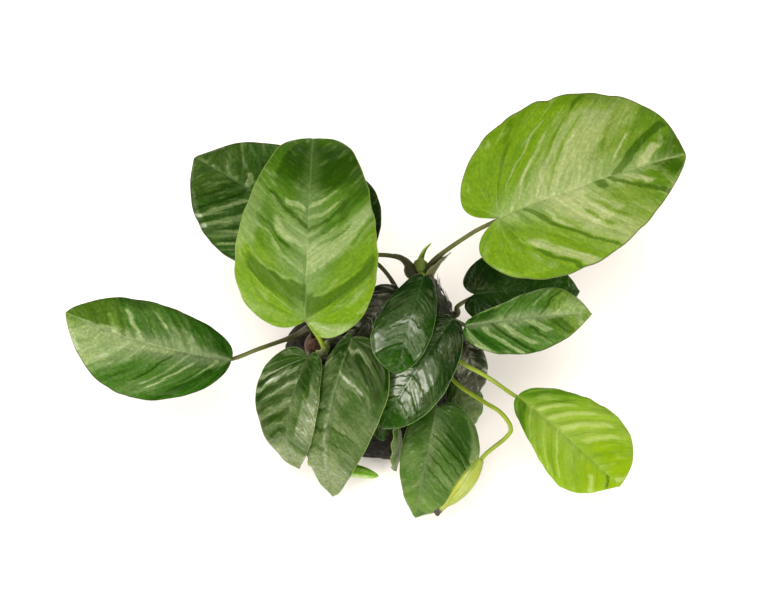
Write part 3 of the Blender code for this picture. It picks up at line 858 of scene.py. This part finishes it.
def relief(leaf, seed, x, y, s, t, vein):
    """Height of a blade's surface over its smooth form: it fades at the edge, the midrib and the ends."""
    fade = (1 - t**6) * min(1, abs(y) / RELIEF_FROM_RIB) * min(1, math.hypot(x, y) / RELIEF_FROM_BASE)
    swelling = leaf.quilt * (abs(math.sin(math.pi * vein)) ** 1.2 - 0.5)
    uneven = max(0, 1 + 1.4 * noise.noise(Vector((vein * 0.7, 2 * t, seed + 5))))
    strands = STRANDS * noise.noise(Vector((vein * 4.5, 3 * t, seed)))
    broad = leaf.wave * noise.noise(Vector((x / BROAD_WAVE, y / BROAD_WAVE, seed)))
    phase = seed + (1.5 if t < 0 else 0)
    edge = leaf.ripple * abs(t) ** 5 * math.sin(2 * math.pi * leaf.ripples * s + phase)
    crease = abs(y) * math.tan(math.radians(leaf.crease))
    crease *= smooth_step(leaf.crease_from, leaf.crease_from + CREASE_SPREAD, vein / leaf.veins)
    rolled = EDGE_ROLL * smooth_step(EDGE_ROLL_FROM, 1, abs(t)) * smooth_step(0, 0.1, s)
    ends = smooth_step(0, 0.06, s) * smooth_step(1, 0.93, s)
    return ((swelling * uneven + strands) * fade + broad + edge) * ends + crease - rolled


def tone_at(leaf, seed, vein, t):
    """How much painted sheen, above 0, or painted shade, below 0, a point has over the blade round it."""
    wander = BAND_WANDER * noise.fractal(Vector((vein * 0.5, 4 * t, seed)), 1, 2, 3)
    reach = vein / leaf.veins + wander
    width = abs(t)
    rows = (leaf.left_bands if t >= 0 else ()) + (leaf.right_bands if t <= 0 else ())
    tone = 0.0
    for inner, outer, breadth, start, end, strength in rows:
        off = abs(reach - inner - (outer - inner) * width) / max(breadth, BAND_NARROWEST)
        ends = smooth_step(start - BAND_FADE, start, width) * smooth_step(end + BAND_FADE, end, width)
        tone += strength * smooth_step(1, 0.2, off) * ends
    return tone


def blade_point(leaf, seed, s, t):
    """(point, y, vein) of a blade's middle surface.

    s runs from its notch to its tip, and t from its right edge, -1, to its left.
    """
    base, length, along, left, normal = blade_frame(leaf)
    angle = math.pi * (1 - s)
    half, lobe, belly, point = leaf.left if t > 0 else leaf.right
    edge_x = (length - lobe) / 2 + (length + lobe) / 2 * math.cos(angle)
    edge_x += lobe * math.exp((angle - math.pi) / LOBE_WIDTH)
    swell = max(0.0, math.sin(angle + belly * math.sin(angle)))
    edge_y = half * swell ** (1 + point * (1 + math.cos(angle)) / 2)
    cuts = 1 + math.sin(2 * math.pi * leaf.ripples * SCALLOP_RATE * s + 2 * seed)
    cuts += 4 * max(0, noise.noise(Vector((4 * leaf.ripples * s, half, seed))))
    edge_y *= 1 - SCALLOP * cuts * math.sin(math.pi * s)
    rib_x = length * s**RIB_SPREAD
    share = abs(t)
    x = rib_x + (edge_x - rib_x) * share - VEIN_RAKE * edge_y * share * (1 - share)
    y = edge_y * t
    bow = 4 * x / length * (1 - x / length)
    z = leaf.arch * bow + abs(y) * math.tan(math.radians(leaf.fold)) - leaf.cup * (y / half) ** 2
    vein = vein_at(leaf, length, x, y)
    z += relief(leaf, seed, x, y, s, t, vein)
    return base + along * x + left * (y + leaf.sweep * max(bow, 0)) + normal * z, y, vein


def add_blade(leaf, seed, upper, under):
    """The upper side's columns run from right to left, and the lower side's run back."""
    _, length, _, _, normal = blade_frame(leaf)
    rows = math.ceil(BLADE_ROWS * length / GRAIN)
    halves = math.ceil(max(leaf.left[0], leaf.right[0]) / GRAIN) + 2
    shares = [(i / (halves - 1)) ** BLADE_COLUMN_SPREAD * EDGE_COLUMN for i in range(halves)] + [1.0]
    across = [-t for t in reversed(shares[1:])] + shares
    rings = [(row / rows) ** BLADE_RING_SPREAD for row in range(rows + 1)]
    middle = [[blade_point(leaf, seed, s, t if 0 < s < 1 else 0) for t in across] for s in rings]

    def place(row, column):
        index, below = sheet_column(column, len(across))
        s, t = rings[row], across[index]
        point, y, vein = middle[row][index]
        height = 0
        if 0 < row < rows:
            thick = BLADE_EDGE + (BLADE_THICKNESS - BLADE_EDGE) * (1 - abs(t) ** 3)
            rib = math.exp(-((y / (RIB_BREADTH - 0.6 * s)) ** 2)) * (1 - 0.7 * s) * smooth_step(0, 0.05, s)
            height = -thick / 2 - RIB_UNDER * rib if below else thick / 2 - leaf.groove * rib
        marks = (vein / leaf.veins, t, vein + VEINS_APART * seed, y, tone_at(leaf, seed, vein, t))
        return point + normal * height, *marks, float(below)

    bm = mapped_grid(rows, 2 * len(across), place, ("reach", "across", "vein", "side", "tone", "below"))
    below = bm.verts.layers.float["below"]
    for face in bm.faces:
        face.material_index = int(all(v[below] > 0.5 for v in face.verts))
    add_piece(leaf.name + "_surface", bm, [upper, under], FINISHES[leaf.finish].slot, leaf.name + "_blade")


# ---------------- stalks, sheaths and roots


def stalk_path(leaf, steps):
    """From inside the stem to the underside of the blade's midrib, where it ends inside the rib."""
    normal = blade_frame(leaf)[4]
    root, out = on_stem(*leaf.root)
    middle = blade_point(leaf, 0, STALK_JOIN, 0)[0]
    heading = (blade_point(leaf, 0, 2 * STALK_JOIN, 0)[0] - middle).normalized()
    end = middle - normal * (BLADE_THICKNESS / 2 + GAP + STALK_TOP)
    via = [Vector(v) for v in leaf.via] or [root.lerp(end, 0.5) + out]
    first, last = (via[0] - root).normalized(), (end - via[-1]).normalized()
    leaving = (out * 2 + first).normalized()
    arriving = (last + heading * 0.5 + normal * 0.3).normalized()
    root += out * STALK_FOOT * math.sin(out.angle(leaving))
    path = smooth_path([root, *via, end], steps, leaving, arriving)
    return [root - leaving * 2, *path, end + heading * 0.6 + normal * 0.3]


def add_stalk(leaf, seed, material, slot):
    """Slightly uneven, with a shallow groove along one side and a sheath's two wings at its foot."""

    def radius(share, angle):
        sheath = max(0.0, 1 - share / SHEATH_SHARE) ** 1.5
        thin = STALK_TOP + (STALK_MIDDLE - STALK_TOP) * (1 - share)
        groove = STALK_GROOVE * max(0.0, math.cos(angle + seed)) ** 6
        wings = STALK_WINGS * sheath * abs(math.sin(angle + seed)) ** 8
        uneven = STALK_UNEVEN * noise.noise(Vector((share * 9, angle, seed)))
        return thin + (STALK_FOOT - STALK_MIDDLE) * sheath - groove + wings + uneven

    bm = tube(stalk_path(leaf, STALK_STEPS), radius, STALK_SIDES)
    add_piece(leaf.name + "_stalk_skin", bm, [material], slot, leaf.name + "_stalk")


def add_sheath(sheath, material):
    """Its outer side's columns run from one free edge to the other, and its inner side's run back."""
    path = smooth_path(sheath.path, SHEATH_STEPS)

    def place(row, column):
        u = row / SHEATH_ROWS
        index, inner = sheet_column(column, SHEATH_COLUMNS)
        t = 2 * index / (SHEATH_COLUMNS - 1) - 1
        centre, along = at_share(path, u)
        middle = (sheath.facing - along * sheath.facing.dot(along)).normalized()
        reach = math.radians(sheath.opening) * smooth_step(0, 0.12, u) * (1 - u**3)
        wander = SHEATH_WANDER * noise.noise(Vector((7 * u, t, sheath.low)))
        angle = t * reach * (1 + wander)
        out = middle * math.cos(angle) + along.cross(middle) * math.sin(angle)
        radius = sheath.low + (sheath.high - sheath.low) * u + SHEATH_FLARE * t * t * (1 - u) + wander
        thick = SHEATH_THICKNESS * (1 - 0.6 * t * t) if 0 < row < SHEATH_ROWS else 0
        return centre + out * (radius + (-thick if inner else thick) / 2), u, t

    bm = mapped_grid(SHEATH_ROWS, 2 * SHEATH_COLUMNS, place, ("along", "round"))
    add_piece(sheath.name, bm, [material], "stalk_young")


def root_path(root, steps):
    start, out = on_stem(*root.start)
    path = [start]
    for compass, height in root.over:
        compass, height = math.radians(compass), math.radians(height)
        level = math.cos(height)
        away = Vector((math.cos(compass) * level, math.sin(compass) * level, math.sin(height)))
        surface = STONE_TURN @ stone_form(away) + STONE_MIDDLE
        path.append(surface + away * (root.radius + ROOT_LIFT))
    leaving = (out + (path[1] - start).normalized()).normalized()
    return [start - out * 2, *smooth_path(path, steps, leaving)]


def add_root(root, seed, material):
    def radius(share, angle):
        around = Vector((share * 26, math.cos(angle), math.sin(angle) + seed))
        return root.radius * (1 - ROOT_THINS * share) + ROOT_BUMPS * noise.fractal(around, 1, 2, 2)

    bm = tube(root_path(root, ROOT_STEPS), radius, ROOT_SIDES)
    add_piece(root.name + "_skin", bm, [material], "root", root.name)


# ---------------- bud and new leaf


def bud_radius(share, angle):
    """A furled hood: thickest a little before its middle, ribbed, with one edge lapped over the other."""
    swell = math.sin(math.pi * min(1, share * 1.15 + 0.08))
    full = BUD_RADIUS * (BUD_NECK + (1 - BUD_NECK) * swell)
    lap = ((angle + 1.2 * share) / (2 * math.pi)) % 1
    ribs = BUD_RIB_HEIGHT * math.cos(BUD_RIBS * angle)
    tip = BUD_RAGGED * noise.noise(Vector((1.7 * angle, share * 22, 1))) * smooth_step(0.85, 0.95, share)
    return max(0.3, full * (0.88 + BUD_LAP * lap) + ribs * swell + tip)


def add_bud(hood, stalk):
    bm = tube(smooth_path(BUD_PATH, BUD_STEPS), bud_radius, BUD_SIDES)
    add_piece("bud_hood_skin", bm, [hood], "bud_hood", "bud_hood")
    first, second = (Vector(p) for p in BUD_PATH[:2])
    root, out = on_stem(*BUD_STALK_FROM)
    leaving = (out + (Vector(BUD_STALK_PATH[0]) - root).normalized()).normalized()
    end = first.lerp(second, 0.1)
    path = smooth_path([root, *BUD_STALK_PATH, end], STALK_STEPS, leaving, (second - first).normalized())
    path.insert(0, root - out * 1.5)

    def radius(share, angle):
        return BUD_STALK_RADIUS + BUD_STALK_COLLAR * smooth_step(0.97, 1, share)

    add_piece("bud_stalk_skin", tube(path, radius, STALK_SIDES), [stalk], "stalk_young", "bud_stalk")


def furled_radius(share, angle):
    lap = (angle / (2 * math.pi) + 0.3 * share) % 1
    return (SHOOT_RADIUS + (SHOOT_TIP - SHOOT_RADIUS) * share) * (0.82 + 0.18 * lap)


def add_shoot(leaf_material, sheath_material):
    bm = tube(smooth_path(SHOOT_PATH, SHOOT_STEPS), furled_radius, SHOOT_SIDES)
    add_piece("new_leaf_skin", bm, [leaf_material], "stalk_young", "new_leaf")
    path = smooth_path(SHOOT_SHEATH_PATH, SHEATH_STEPS)
    bm = tube(path, lambda share, angle: SHOOT_SHEATH_RADIUS * (1 - 0.7 * share), SHOOT_SHEATH_SIDES)
    add_piece("new_leaf_sheath_skin", bm, [sheath_material], "stalk_young", "new_leaf_sheath")


# ---------------- materials


VEINWISE = ("vein", "across", "side")
LENGTHWISE = ("round", "along")


class Nodes:
    """A node tree in the making. A value is a number, a colour of three parts or a node's socket."""

    def __init__(self, tree):
        self.tree = tree
        self.here = self.add("TexCoord").outputs["Object"]

    def feed(self, socket, value):
        if isinstance(value, bpy.types.NodeSocket):
            self.tree.links.new(value, socket)
        else:
            socket.default_value = (*value, 1) if isinstance(value, tuple) else value

    def add(self, kind, inputs=(), **settings):
        """A node with its settings, and with its inputs given by name or number."""
        made = self.tree.nodes.new("ShaderNode" + kind)
        for name, value in settings.items():
            setattr(made, name, value)
        for key, value in dict(inputs).items():
            self.feed(made.inputs[key], value)
        return made

    def math(self, operation, *values):
        return self.add("Math", enumerate(values), operation=operation).outputs[0]

    def product(self, *values):
        return self.math("MULTIPLY", *values)

    def mark(self, name):
        """What the mesh says of itself at each point."""
        return self.add("Attribute", attribute_name=name).outputs["Fac"]

    def span(self, value, low, high, start=0.0, end=1.0):
        """value from low to high, eased, as start to end."""
        inputs = {"Value": value, "From Min": low, "From Max": high, "To Min": start, "To Max": end}
        return self.add("MapRange", inputs, interpolation_type="SMOOTHSTEP").outputs["Result"]

    def mix(self, factor, first, second, blend="MIX"):
        inputs = {0: factor, 6: first, 7: second}
        return self.add("Mix", inputs, data_type="RGBA", blend_type=blend).outputs[2]

    def tint(self, factor, colour, tint):
        return self.mix(factor, colour, tint, "MULTIPLY")

    def layered(self, colour, *layers):
        """colour under layers of (value, colour, low, high, how strong at low, how strong at high)."""
        for value, layer, *span in layers:
            colour = self.mix(self.span(value, *span), colour, layer)
        return colour

    def noise(self, scale, detail=2.0, distortion=0.0, at=None):
        inputs = {"Vector": at or self.here, "Scale": scale, "Detail": detail, "Distortion": distortion}
        return self.add("TexNoise", inputs).outputs["Fac"]

    def drawn_out(self, marks, scales, detail=3, distortion=0.0):
        """Noise that runs with the mesh's marks, each times its scale."""
        parts = [self.product(self.mark(name), scale) for name, scale in zip(marks, scales)]
        at = self.add("CombineXYZ", enumerate(parts)).outputs[0]
        return self.noise(1.0, detail, distortion, at)

    def stray(self, value, noise, share):
        """value, moved up and down by a share of the noise."""
        return self.math("MULTIPLY_ADD", self.math("SUBTRACT", noise, 0.5), share, value)


class Skin(Nodes):
    """A material in the making. Its shader's sockets are named with _ for each space."""

    def __init__(self, name, **values):
        self.material = bpy.data.materials.new(name)
        self.material.use_nodes = True
        super().__init__(self.material.node_tree)
        self.set(**values)

    def set(self, **values):
        shader = self.tree.nodes["Principled BSDF"]
        for name, value in values.items():
            self.feed(shader.inputs[name.replace("_", " ")], value)

    def finished(self, colour, height=None, depth=0.0):
        """The material with this colour, and with relief that is depth mm high."""
        self.set(Base_Color=colour)
        if height:
            bump = self.add("Bump", {"Height": height, "Distance": depth * MM})
            self.set(Normal=bump.outputs["Normal"])
        return self.material


def new_group(name, inputs, outputs):
    """(its nodes, its inputs, its outputs), from dicts of sockets' names and kinds."""
    tree = bpy.data.node_groups.new(name, "ShaderNodeTree")
    for way, sockets in (("INPUT", inputs), ("OUTPUT", outputs)):
        for title, kind in sockets.items():
            tree.interface.new_socket(title, in_out=way, socket_type="NodeSocket" + kind)
    return Nodes(tree), tree.nodes.new("NodeGroupInput").outputs, tree.nodes.new("NodeGroupOutput").inputs


def blade_colour_group():
    """The colours of a blade's upper side: lobes to tip, painted sheen and shade, streaks, glints, heart
    and rim.
    """
    colours = dict.fromkeys(("Lobe", "Middle", "Tip", "Heart", "Pale", "Rim"), "Color")
    strengths = dict.fromkeys(("Sheen_patch", "Streak", "Grain"), "Float")
    n, given, out = new_group("Blade colour", colours | strengths, {"Colour": "Color"})
    pale = given["Pale"]
    width = n.math("ABSOLUTE", n.mark("across"))
    place = n.stray(n.mark("reach"), n.noise(70, 3), 0.4)
    colour = n.layered(
        given["Lobe"],
        (place, given["Middle"], 0.0, 0.32),
        (place, given["Tip"], 0.52, 0.72),
        (width, given["Heart"], 0.0, 0.4, 0.6, 0.0),
    )

    # Painted sheen: a cloudy light patch across the blade's middle.
    window = n.product(n.span(place, 0.05, 0.22), n.span(place, 0.46, 0.62, 1.0, 0.0))
    cloud = n.span(n.noise(95, 3, 0.4), 0.36, 0.62)
    colour = n.mix(n.product(n.product(window, cloud), given["Sheen_patch"]), colour, pale)
    # Light streaks along the veins, partly the leaf's own and partly painted sheen.
    light = n.span(n.drawn_out(VEINWISE, (2.3, 1.4, 0.1), 3, 0.3), 0.54, 0.68)
    colour = n.mix(n.product(light, given["Streak"]), colour, pale)

    # The bands: painted sheen where the tone is above 0, painted shade where it is below.
    tone = n.mark("tone")
    tone = n.stray(tone, n.drawn_out(VEINWISE, (5, 2, 0.15)), n.math("ABSOLUTE", tone))
    colour = n.layered(colour, (tone, pale, 0.05, 0.9, 0.0, 0.85))
    colour = n.tint(n.span(tone, -0.9, -0.05, 1.0, 0.0), colour, (0.42, 0.52, 0.26))
    dark = n.span(n.drawn_out(VEINWISE, (1.5, 1.1, -0.1), 4, 0.5), 0.52, 0.64)
    colour = n.tint(n.product(dark, given["Streak"]), colour, (0.42, 0.6, 0.35))

    strand = n.span(n.drawn_out(VEINWISE, (6, 2.5, 0.3), 4, 0.5), 0.4, 0.58)
    fine = n.tint(strand, colour, (0.55, 0.7, 0.5))
    # Thin bright strokes: painted glints.
    glint_streak = n.span(n.drawn_out(VEINWISE, (7.5, 3, -0.3), 3, 0.5), 0.58, 0.7, 0.0, 0.7)
    fine = n.mix(glint_streak, fine, n.tint(1.0, colour, (1.6, 1.4, 1.6)))
    # Fine specks, dark and light; the light ones are painted glints.
    speck_and_glint = n.span(n.noise(1000, 3), 0.36, 0.64)
    fine = n.tint(1.0, fine, n.mix(speck_and_glint, (0.62, 0.7, 0.58), (1.5, 1.35, 1.4)))
    colour = n.mix(given["Grain"], colour, fine)

    side_veins = n.span(n.math("PINGPONG", n.mark("vein"), 0.5), 0.0, 0.07, 0.35, 0.0)
    colour = n.tint(side_veins, colour, (0.6, 0.75, 0.5))
    # A faint line along the midrib, lighter partly in its own colour and partly as painted highlight; and
    # the rim, which where lighter than the blade is a painted highlight of the edge.
    midrib = n.math("ABSOLUTE", n.mark("side"))
    layers = (midrib, pale, 0.1, 0.45, 0.14, 0.0), (width, given["Rim"], 0.98, 0.993, 0.0, 0.8)
    n.feed(out["Colour"], n.layered(colour, *layers))
    return n.tree


def blade_relief_group():
    """The fine wrinkles that run with the veins, and where the skin is smoothest and waxiest."""
    takes = dict.fromkeys(("Wrinkle", "Roughness", "Film"), "Float")
    gives = dict.fromkeys(("Height", "Roughness", "Film"), "Float")
    n, given, out = new_group("Blade relief", takes, gives)
    strands = n.drawn_out(VEINWISE, (5, 2.5, 0.3), 3, 0.6)
    ridges = n.drawn_out(VEINWISE, (3.4, 1.3, 0.25), 3, 0.5)
    cells = n.add("TexVoronoi", {"Vector": n.here, "Scale": 1400}).outputs["Distance"]
    height = strands
    for form, share in ((ridges, 3.5), (cells, 0.25), (n.noise(420, 2, 1.0), 0.3)):
        height = n.math("MULTIPLY_ADD", form, share, height)
    n.feed(out["Height"], n.product(height, given["Wrinkle"]))
    smooth = n.span(n.noise(120, 3, 0.5), 0.42, 0.66, 0.06, -0.08)
    n.feed(out["Roughness"], n.math("ADD", given["Roughness"], smooth))
    waxy = n.stray(n.stray(n.mark("tone"), strands, 3.4), n.noise(900, 2), 2.4)
    n.feed(out["Film"], n.product(n.span(waxy, 0.3, 1.4), given["Film"]))
    return n.tree


def blade_material(name, finish, colour_group, relief_group):
    """A waxy upper side. Each input of the two groups is named after a field of the finish."""
    skin = Skin(
        "blade_" + name, Specular_IOR_Level=finish.shine, Specular_Tint=(1, 1, 0.6), Coat_Roughness=0.22
    )
    colour, surface = (skin.add("Group", node_tree=group) for group in (colour_group, relief_group))
    for socket in (*colour.inputs, *surface.inputs):
        skin.feed(socket, getattr(finish, socket.name.lower()))
    skin.set(Roughness=surface.outputs["Roughness"], Coat_Weight=surface.outputs["Film"])
    return skin.finished(colour.outputs["Colour"], surface.outputs["Height"], 0.02)


def scaled(colour, share):
    return tuple(share * part for part in colour)


def under_material(name, finish):
    """The paler, duller lower side of a blade, with veins that stand out."""
    skin = Skin("under_" + name, Roughness=0.55)
    pale = tuple(0.55 * part + 0.03 for part in finish.middle)
    lines = skin.span(skin.math("PINGPONG", skin.mark("vein"), 0.5), 0.0, 0.1, 0.6, 0.0)
    rib = skin.span(skin.math("ABSOLUTE", skin.mark("side")), 0.3, 1.2, 1.0, 0.0)
    colour = skin.mix(skin.noise(160, 4), finish.middle, pale)
    colour = skin.mix(skin.math("MAXIMUM", lines, rib), colour, scaled(pale, 1.5))
    return skin.finished(colour, skin.math("ADD", lines, skin.noise(900)), 0.1)


def stalk_material(name, foot, top, roughness):
    """Skin with fine lengthwise streaks, from the colour of the foot to that of the top."""
    skin = Skin("stalk_" + name, Roughness=roughness, Specular_IOR_Level=0.25)
    streak = skin.drawn_out(LENGTHWISE, (9, 4.5), 4)
    colour = skin.layered(
        foot,
        (skin.mark("along"), top, 0.0, 0.6),
        (streak, scaled(top, 0.45), 0.4, 0.65, 0.0, 0.55),
        (skin.noise(260, 3), foot, 0.5, 0.75, 0.0, 0.5),
    )
    return skin.finished(colour, streak, 0.12)


def sheath_material(name, foot, tip, edge):
    """A dry, thin skin with fine lengthwise lines, lighter along its free edges."""
    skin = Skin("sheath_" + name, Roughness=0.45, Specular_IOR_Level=0.3)
    line = skin.drawn_out(LENGTHWISE, (14, 2))
    colour = skin.layered(
        foot,
        (skin.mark("along"), tip, 0.1, 0.8),
        (line, scaled(tip, 0.35), 0.4, 0.62, 0.0, 0.7),
        (skin.math("ABSOLUTE", skin.mark("round")), edge, 0.7, 0.98, 0.0, 0.8),
    )
    return skin.finished(colour, line, 0.15)


def rhizome_material():
    """Olive skin with dark specks, brown and dry towards its old end; its near-black ground is partly its
    own colour, partly painted shade.
    """
    skin = Skin("rhizome_skin", Roughness=0.5, Specular_IOR_Level=0.25)
    colour = skin.layered(
        # Near-black ground: partly the stem's own dark colour, partly painted shade from the leaves over
        # it.
        (0.010, 0.013, 0.005),
        (skin.noise(180, 5, 0.3), (0.036, 0.044, 0.014), 0.35, 0.65),
        (skin.mark("along"), (0.13, 0.055, 0.024), 0.0, 0.16, 0.9, 0.0),
        (skin.noise(900, 3), (0.020, 0.014, 0.008), 0.55, 0.7, 0.0, 0.7),
    )
    return skin.finished(colour, skin.noise(700, 4), 0.3)


def root_material():
    skin = Skin("root_skin", Roughness=0.6)
    colour = skin.layered((0.045, 0.040, 0.016), (skin.noise(240, 4), (0.16, 0.125, 0.06), 0.35, 0.7))
    return skin.finished(colour, skin.noise(900, 3), 0.2)


def fibre_material():
    skin = Skin("dry_fibre", Roughness=0.3)
    return skin.finished(skin.mix(skin.noise(150, 3), (0.006, 0.006, 0.004), (0.055, 0.055, 0.042)))


def stone_material():
    """Dark lava with a brown cast and a little rust, darkest in its pits, where the darkening is painted
    shade.
    """
    skin = Skin("lava_stone", Specular_IOR_Level=0.1)
    patch = skin.noise(60, 6)
    colour = skin.layered(
        (0.0035, 0.0034, 0.0020),
        (patch, (0.011, 0.0095, 0.006), 0.35, 0.65),
        (skin.noise(110, 4, 0.5), (0.036, 0.020, 0.009), 0.55, 0.72, 0.0, 0.7),
        # Painted shade: the pits are darkened towards near black.
        (skin.mark("pit"), (0.005, 0.004, 0.003), 0.05, 0.5, 0.0, 0.8),
        (skin.noise(1500, 3), (0.06, 0.05, 0.045), 0.6, 0.75, 0.0, 0.3),
    )
    skin.set(Roughness=skin.span(patch, 0.3, 0.7, 0.5, 0.85))
    return skin.finished(colour, skin.noise(1100, 5), 0.35)


def hood_material():
    """Yellow-green with fine lengthwise ribs, and a withered brown tip."""
    skin = Skin("bud_hood_skin", Roughness=0.42, Coat_Weight=0.1)
    rib = skin.drawn_out(LENGTHWISE, (12.6, 2.8), 4)
    patch = skin.noise(230, 3)
    colour = skin.layered(
        (0.13, 0.20, 0.012),
        (rib, (0.30, 0.315, 0.025), 0.35, 0.65),
        (patch, (0.12, 0.19, 0.012), 0.5, 0.72, 0.0, 0.5),
        (skin.math("MULTIPLY_ADD", patch, 0.06, skin.mark("along")), (0.022, 0.010, 0.007), 0.9, 0.96),
    )
    return skin.finished(colour, rib, 0.3)


def shoot_material():
    """Furled, with light and shade painted round it: dark green on one side, yellow-green in the middle and
    pale on the other side.
    """
    skin = Skin("new_leaf_skin", Roughness=0.35, Coat_Weight=0.2)
    # Painted light and shade: darker on one side of the furl, paler on the other.
    around = skin.mark("round")
    colour = skin.layered(
        (0.03, 0.08, 0.01),
        (around, (0.20, 0.30, 0.02), -0.8, -0.1),
        (around, (0.40, 0.48, 0.12), 0.3, 0.9),
    )
    return skin.finished(colour, skin.noise(600, 3), 0.1)


# ---------------- floor, light and camera


def add_floor():
    bm = bmesh.new()
    bmesh.ops.create_grid(bm, x_segments=1, y_segments=1, size=FLOOR_HALF)
    mesh = mesh_of("floor", bm)
    mesh.materials.append(Skin("floor_paper", Roughness=0.9).finished((0.85, 0.81, 0.77)))
    linked("floor", mesh)


def add_lights():
    """A long light overhead, a window in front on the left, and dim screens before, behind and beside."""
    for name, place, size, watts in LIGHTS:
        light = bpy.data.lights.new(name, "AREA")
        light.shape = "RECTANGLE"
        light.size, light.size_y = size
        light.energy = watts
        light.color = WARM
        lamp = linked(name, light)
        lamp.location = place
        lamp.rotation_euler = (LIT_PLACE - Vector(place)).to_track_quat("-Z", "Y").to_euler()
    world = bpy.data.worlds.new("studio")
    world.use_nodes = True
    sky = world.node_tree.nodes["Background"].inputs
    sky["Color"].default_value = (*SKY, 1)
    sky["Strength"].default_value = SKY_STRENGTH
    bpy.context.scene.world = world
    bpy.context.scene.view_settings.view_transform = "Standard"


def add_camera():
    tilt = math.radians(CAMERA_HEIGHT_ANGLE)
    back = Vector((0, -math.cos(tilt), math.sin(tilt)))
    data = bpy.data.cameras.new("camera")
    data.lens = CAMERA_LENS
    data.sensor_width = CAMERA_SENSOR
    camera = linked("camera", data)
    camera.location = (CAMERA_TARGET + back * CAMERA_DISTANCE) * MM
    camera.rotation_euler = (math.radians(90) - tilt, 0, 0)
    bpy.context.scene.camera = camera


# ---------------- the plant


def add_leaves(young):
    groups = blade_colour_group(), blade_relief_group()
    uppers = {name: blade_material(name, finish, *groups) for name, finish in FINISHES.items()}
    unders = {name: under_material(name, finish) for name, finish in FINISHES.items()}
    old = stalk_material("old", (0.030, 0.022, 0.010), (0.078, 0.088, 0.016), 0.42)
    for seed, leaf in enumerate(LEAVES):
        add_blade(leaf, seed, uppers[leaf.finish], unders[leaf.finish])
        stalk = (young, "stalk_young") if leaf.name in YOUNG_STALKS else (old, "stalk_old")
        add_stalk(leaf, seed, *stalk)


def main():
    add_camera()
    add_stone(stone_material())
    add_stems(rhizome_material())
    add_fibres(fibre_material())
    root_skin = root_material()
    for seed, root in enumerate(ROOTS):
        add_root(root, seed, root_skin)
    young = stalk_material("young", (0.12, 0.15, 0.015), (0.19, 0.26, 0.012), 0.38)
    add_leaves(young)
    add_bud(hood_material(), young)
    add_shoot(shoot_material(), young)
    skins = {name: sheath_material(name, *colours) for name, colours in SHEATH_SKINS.items()}
    for sheath in SHEATHS:
        add_sheath(sheath, skins[sheath.skin])
    add_floor()
    add_lights()


main()
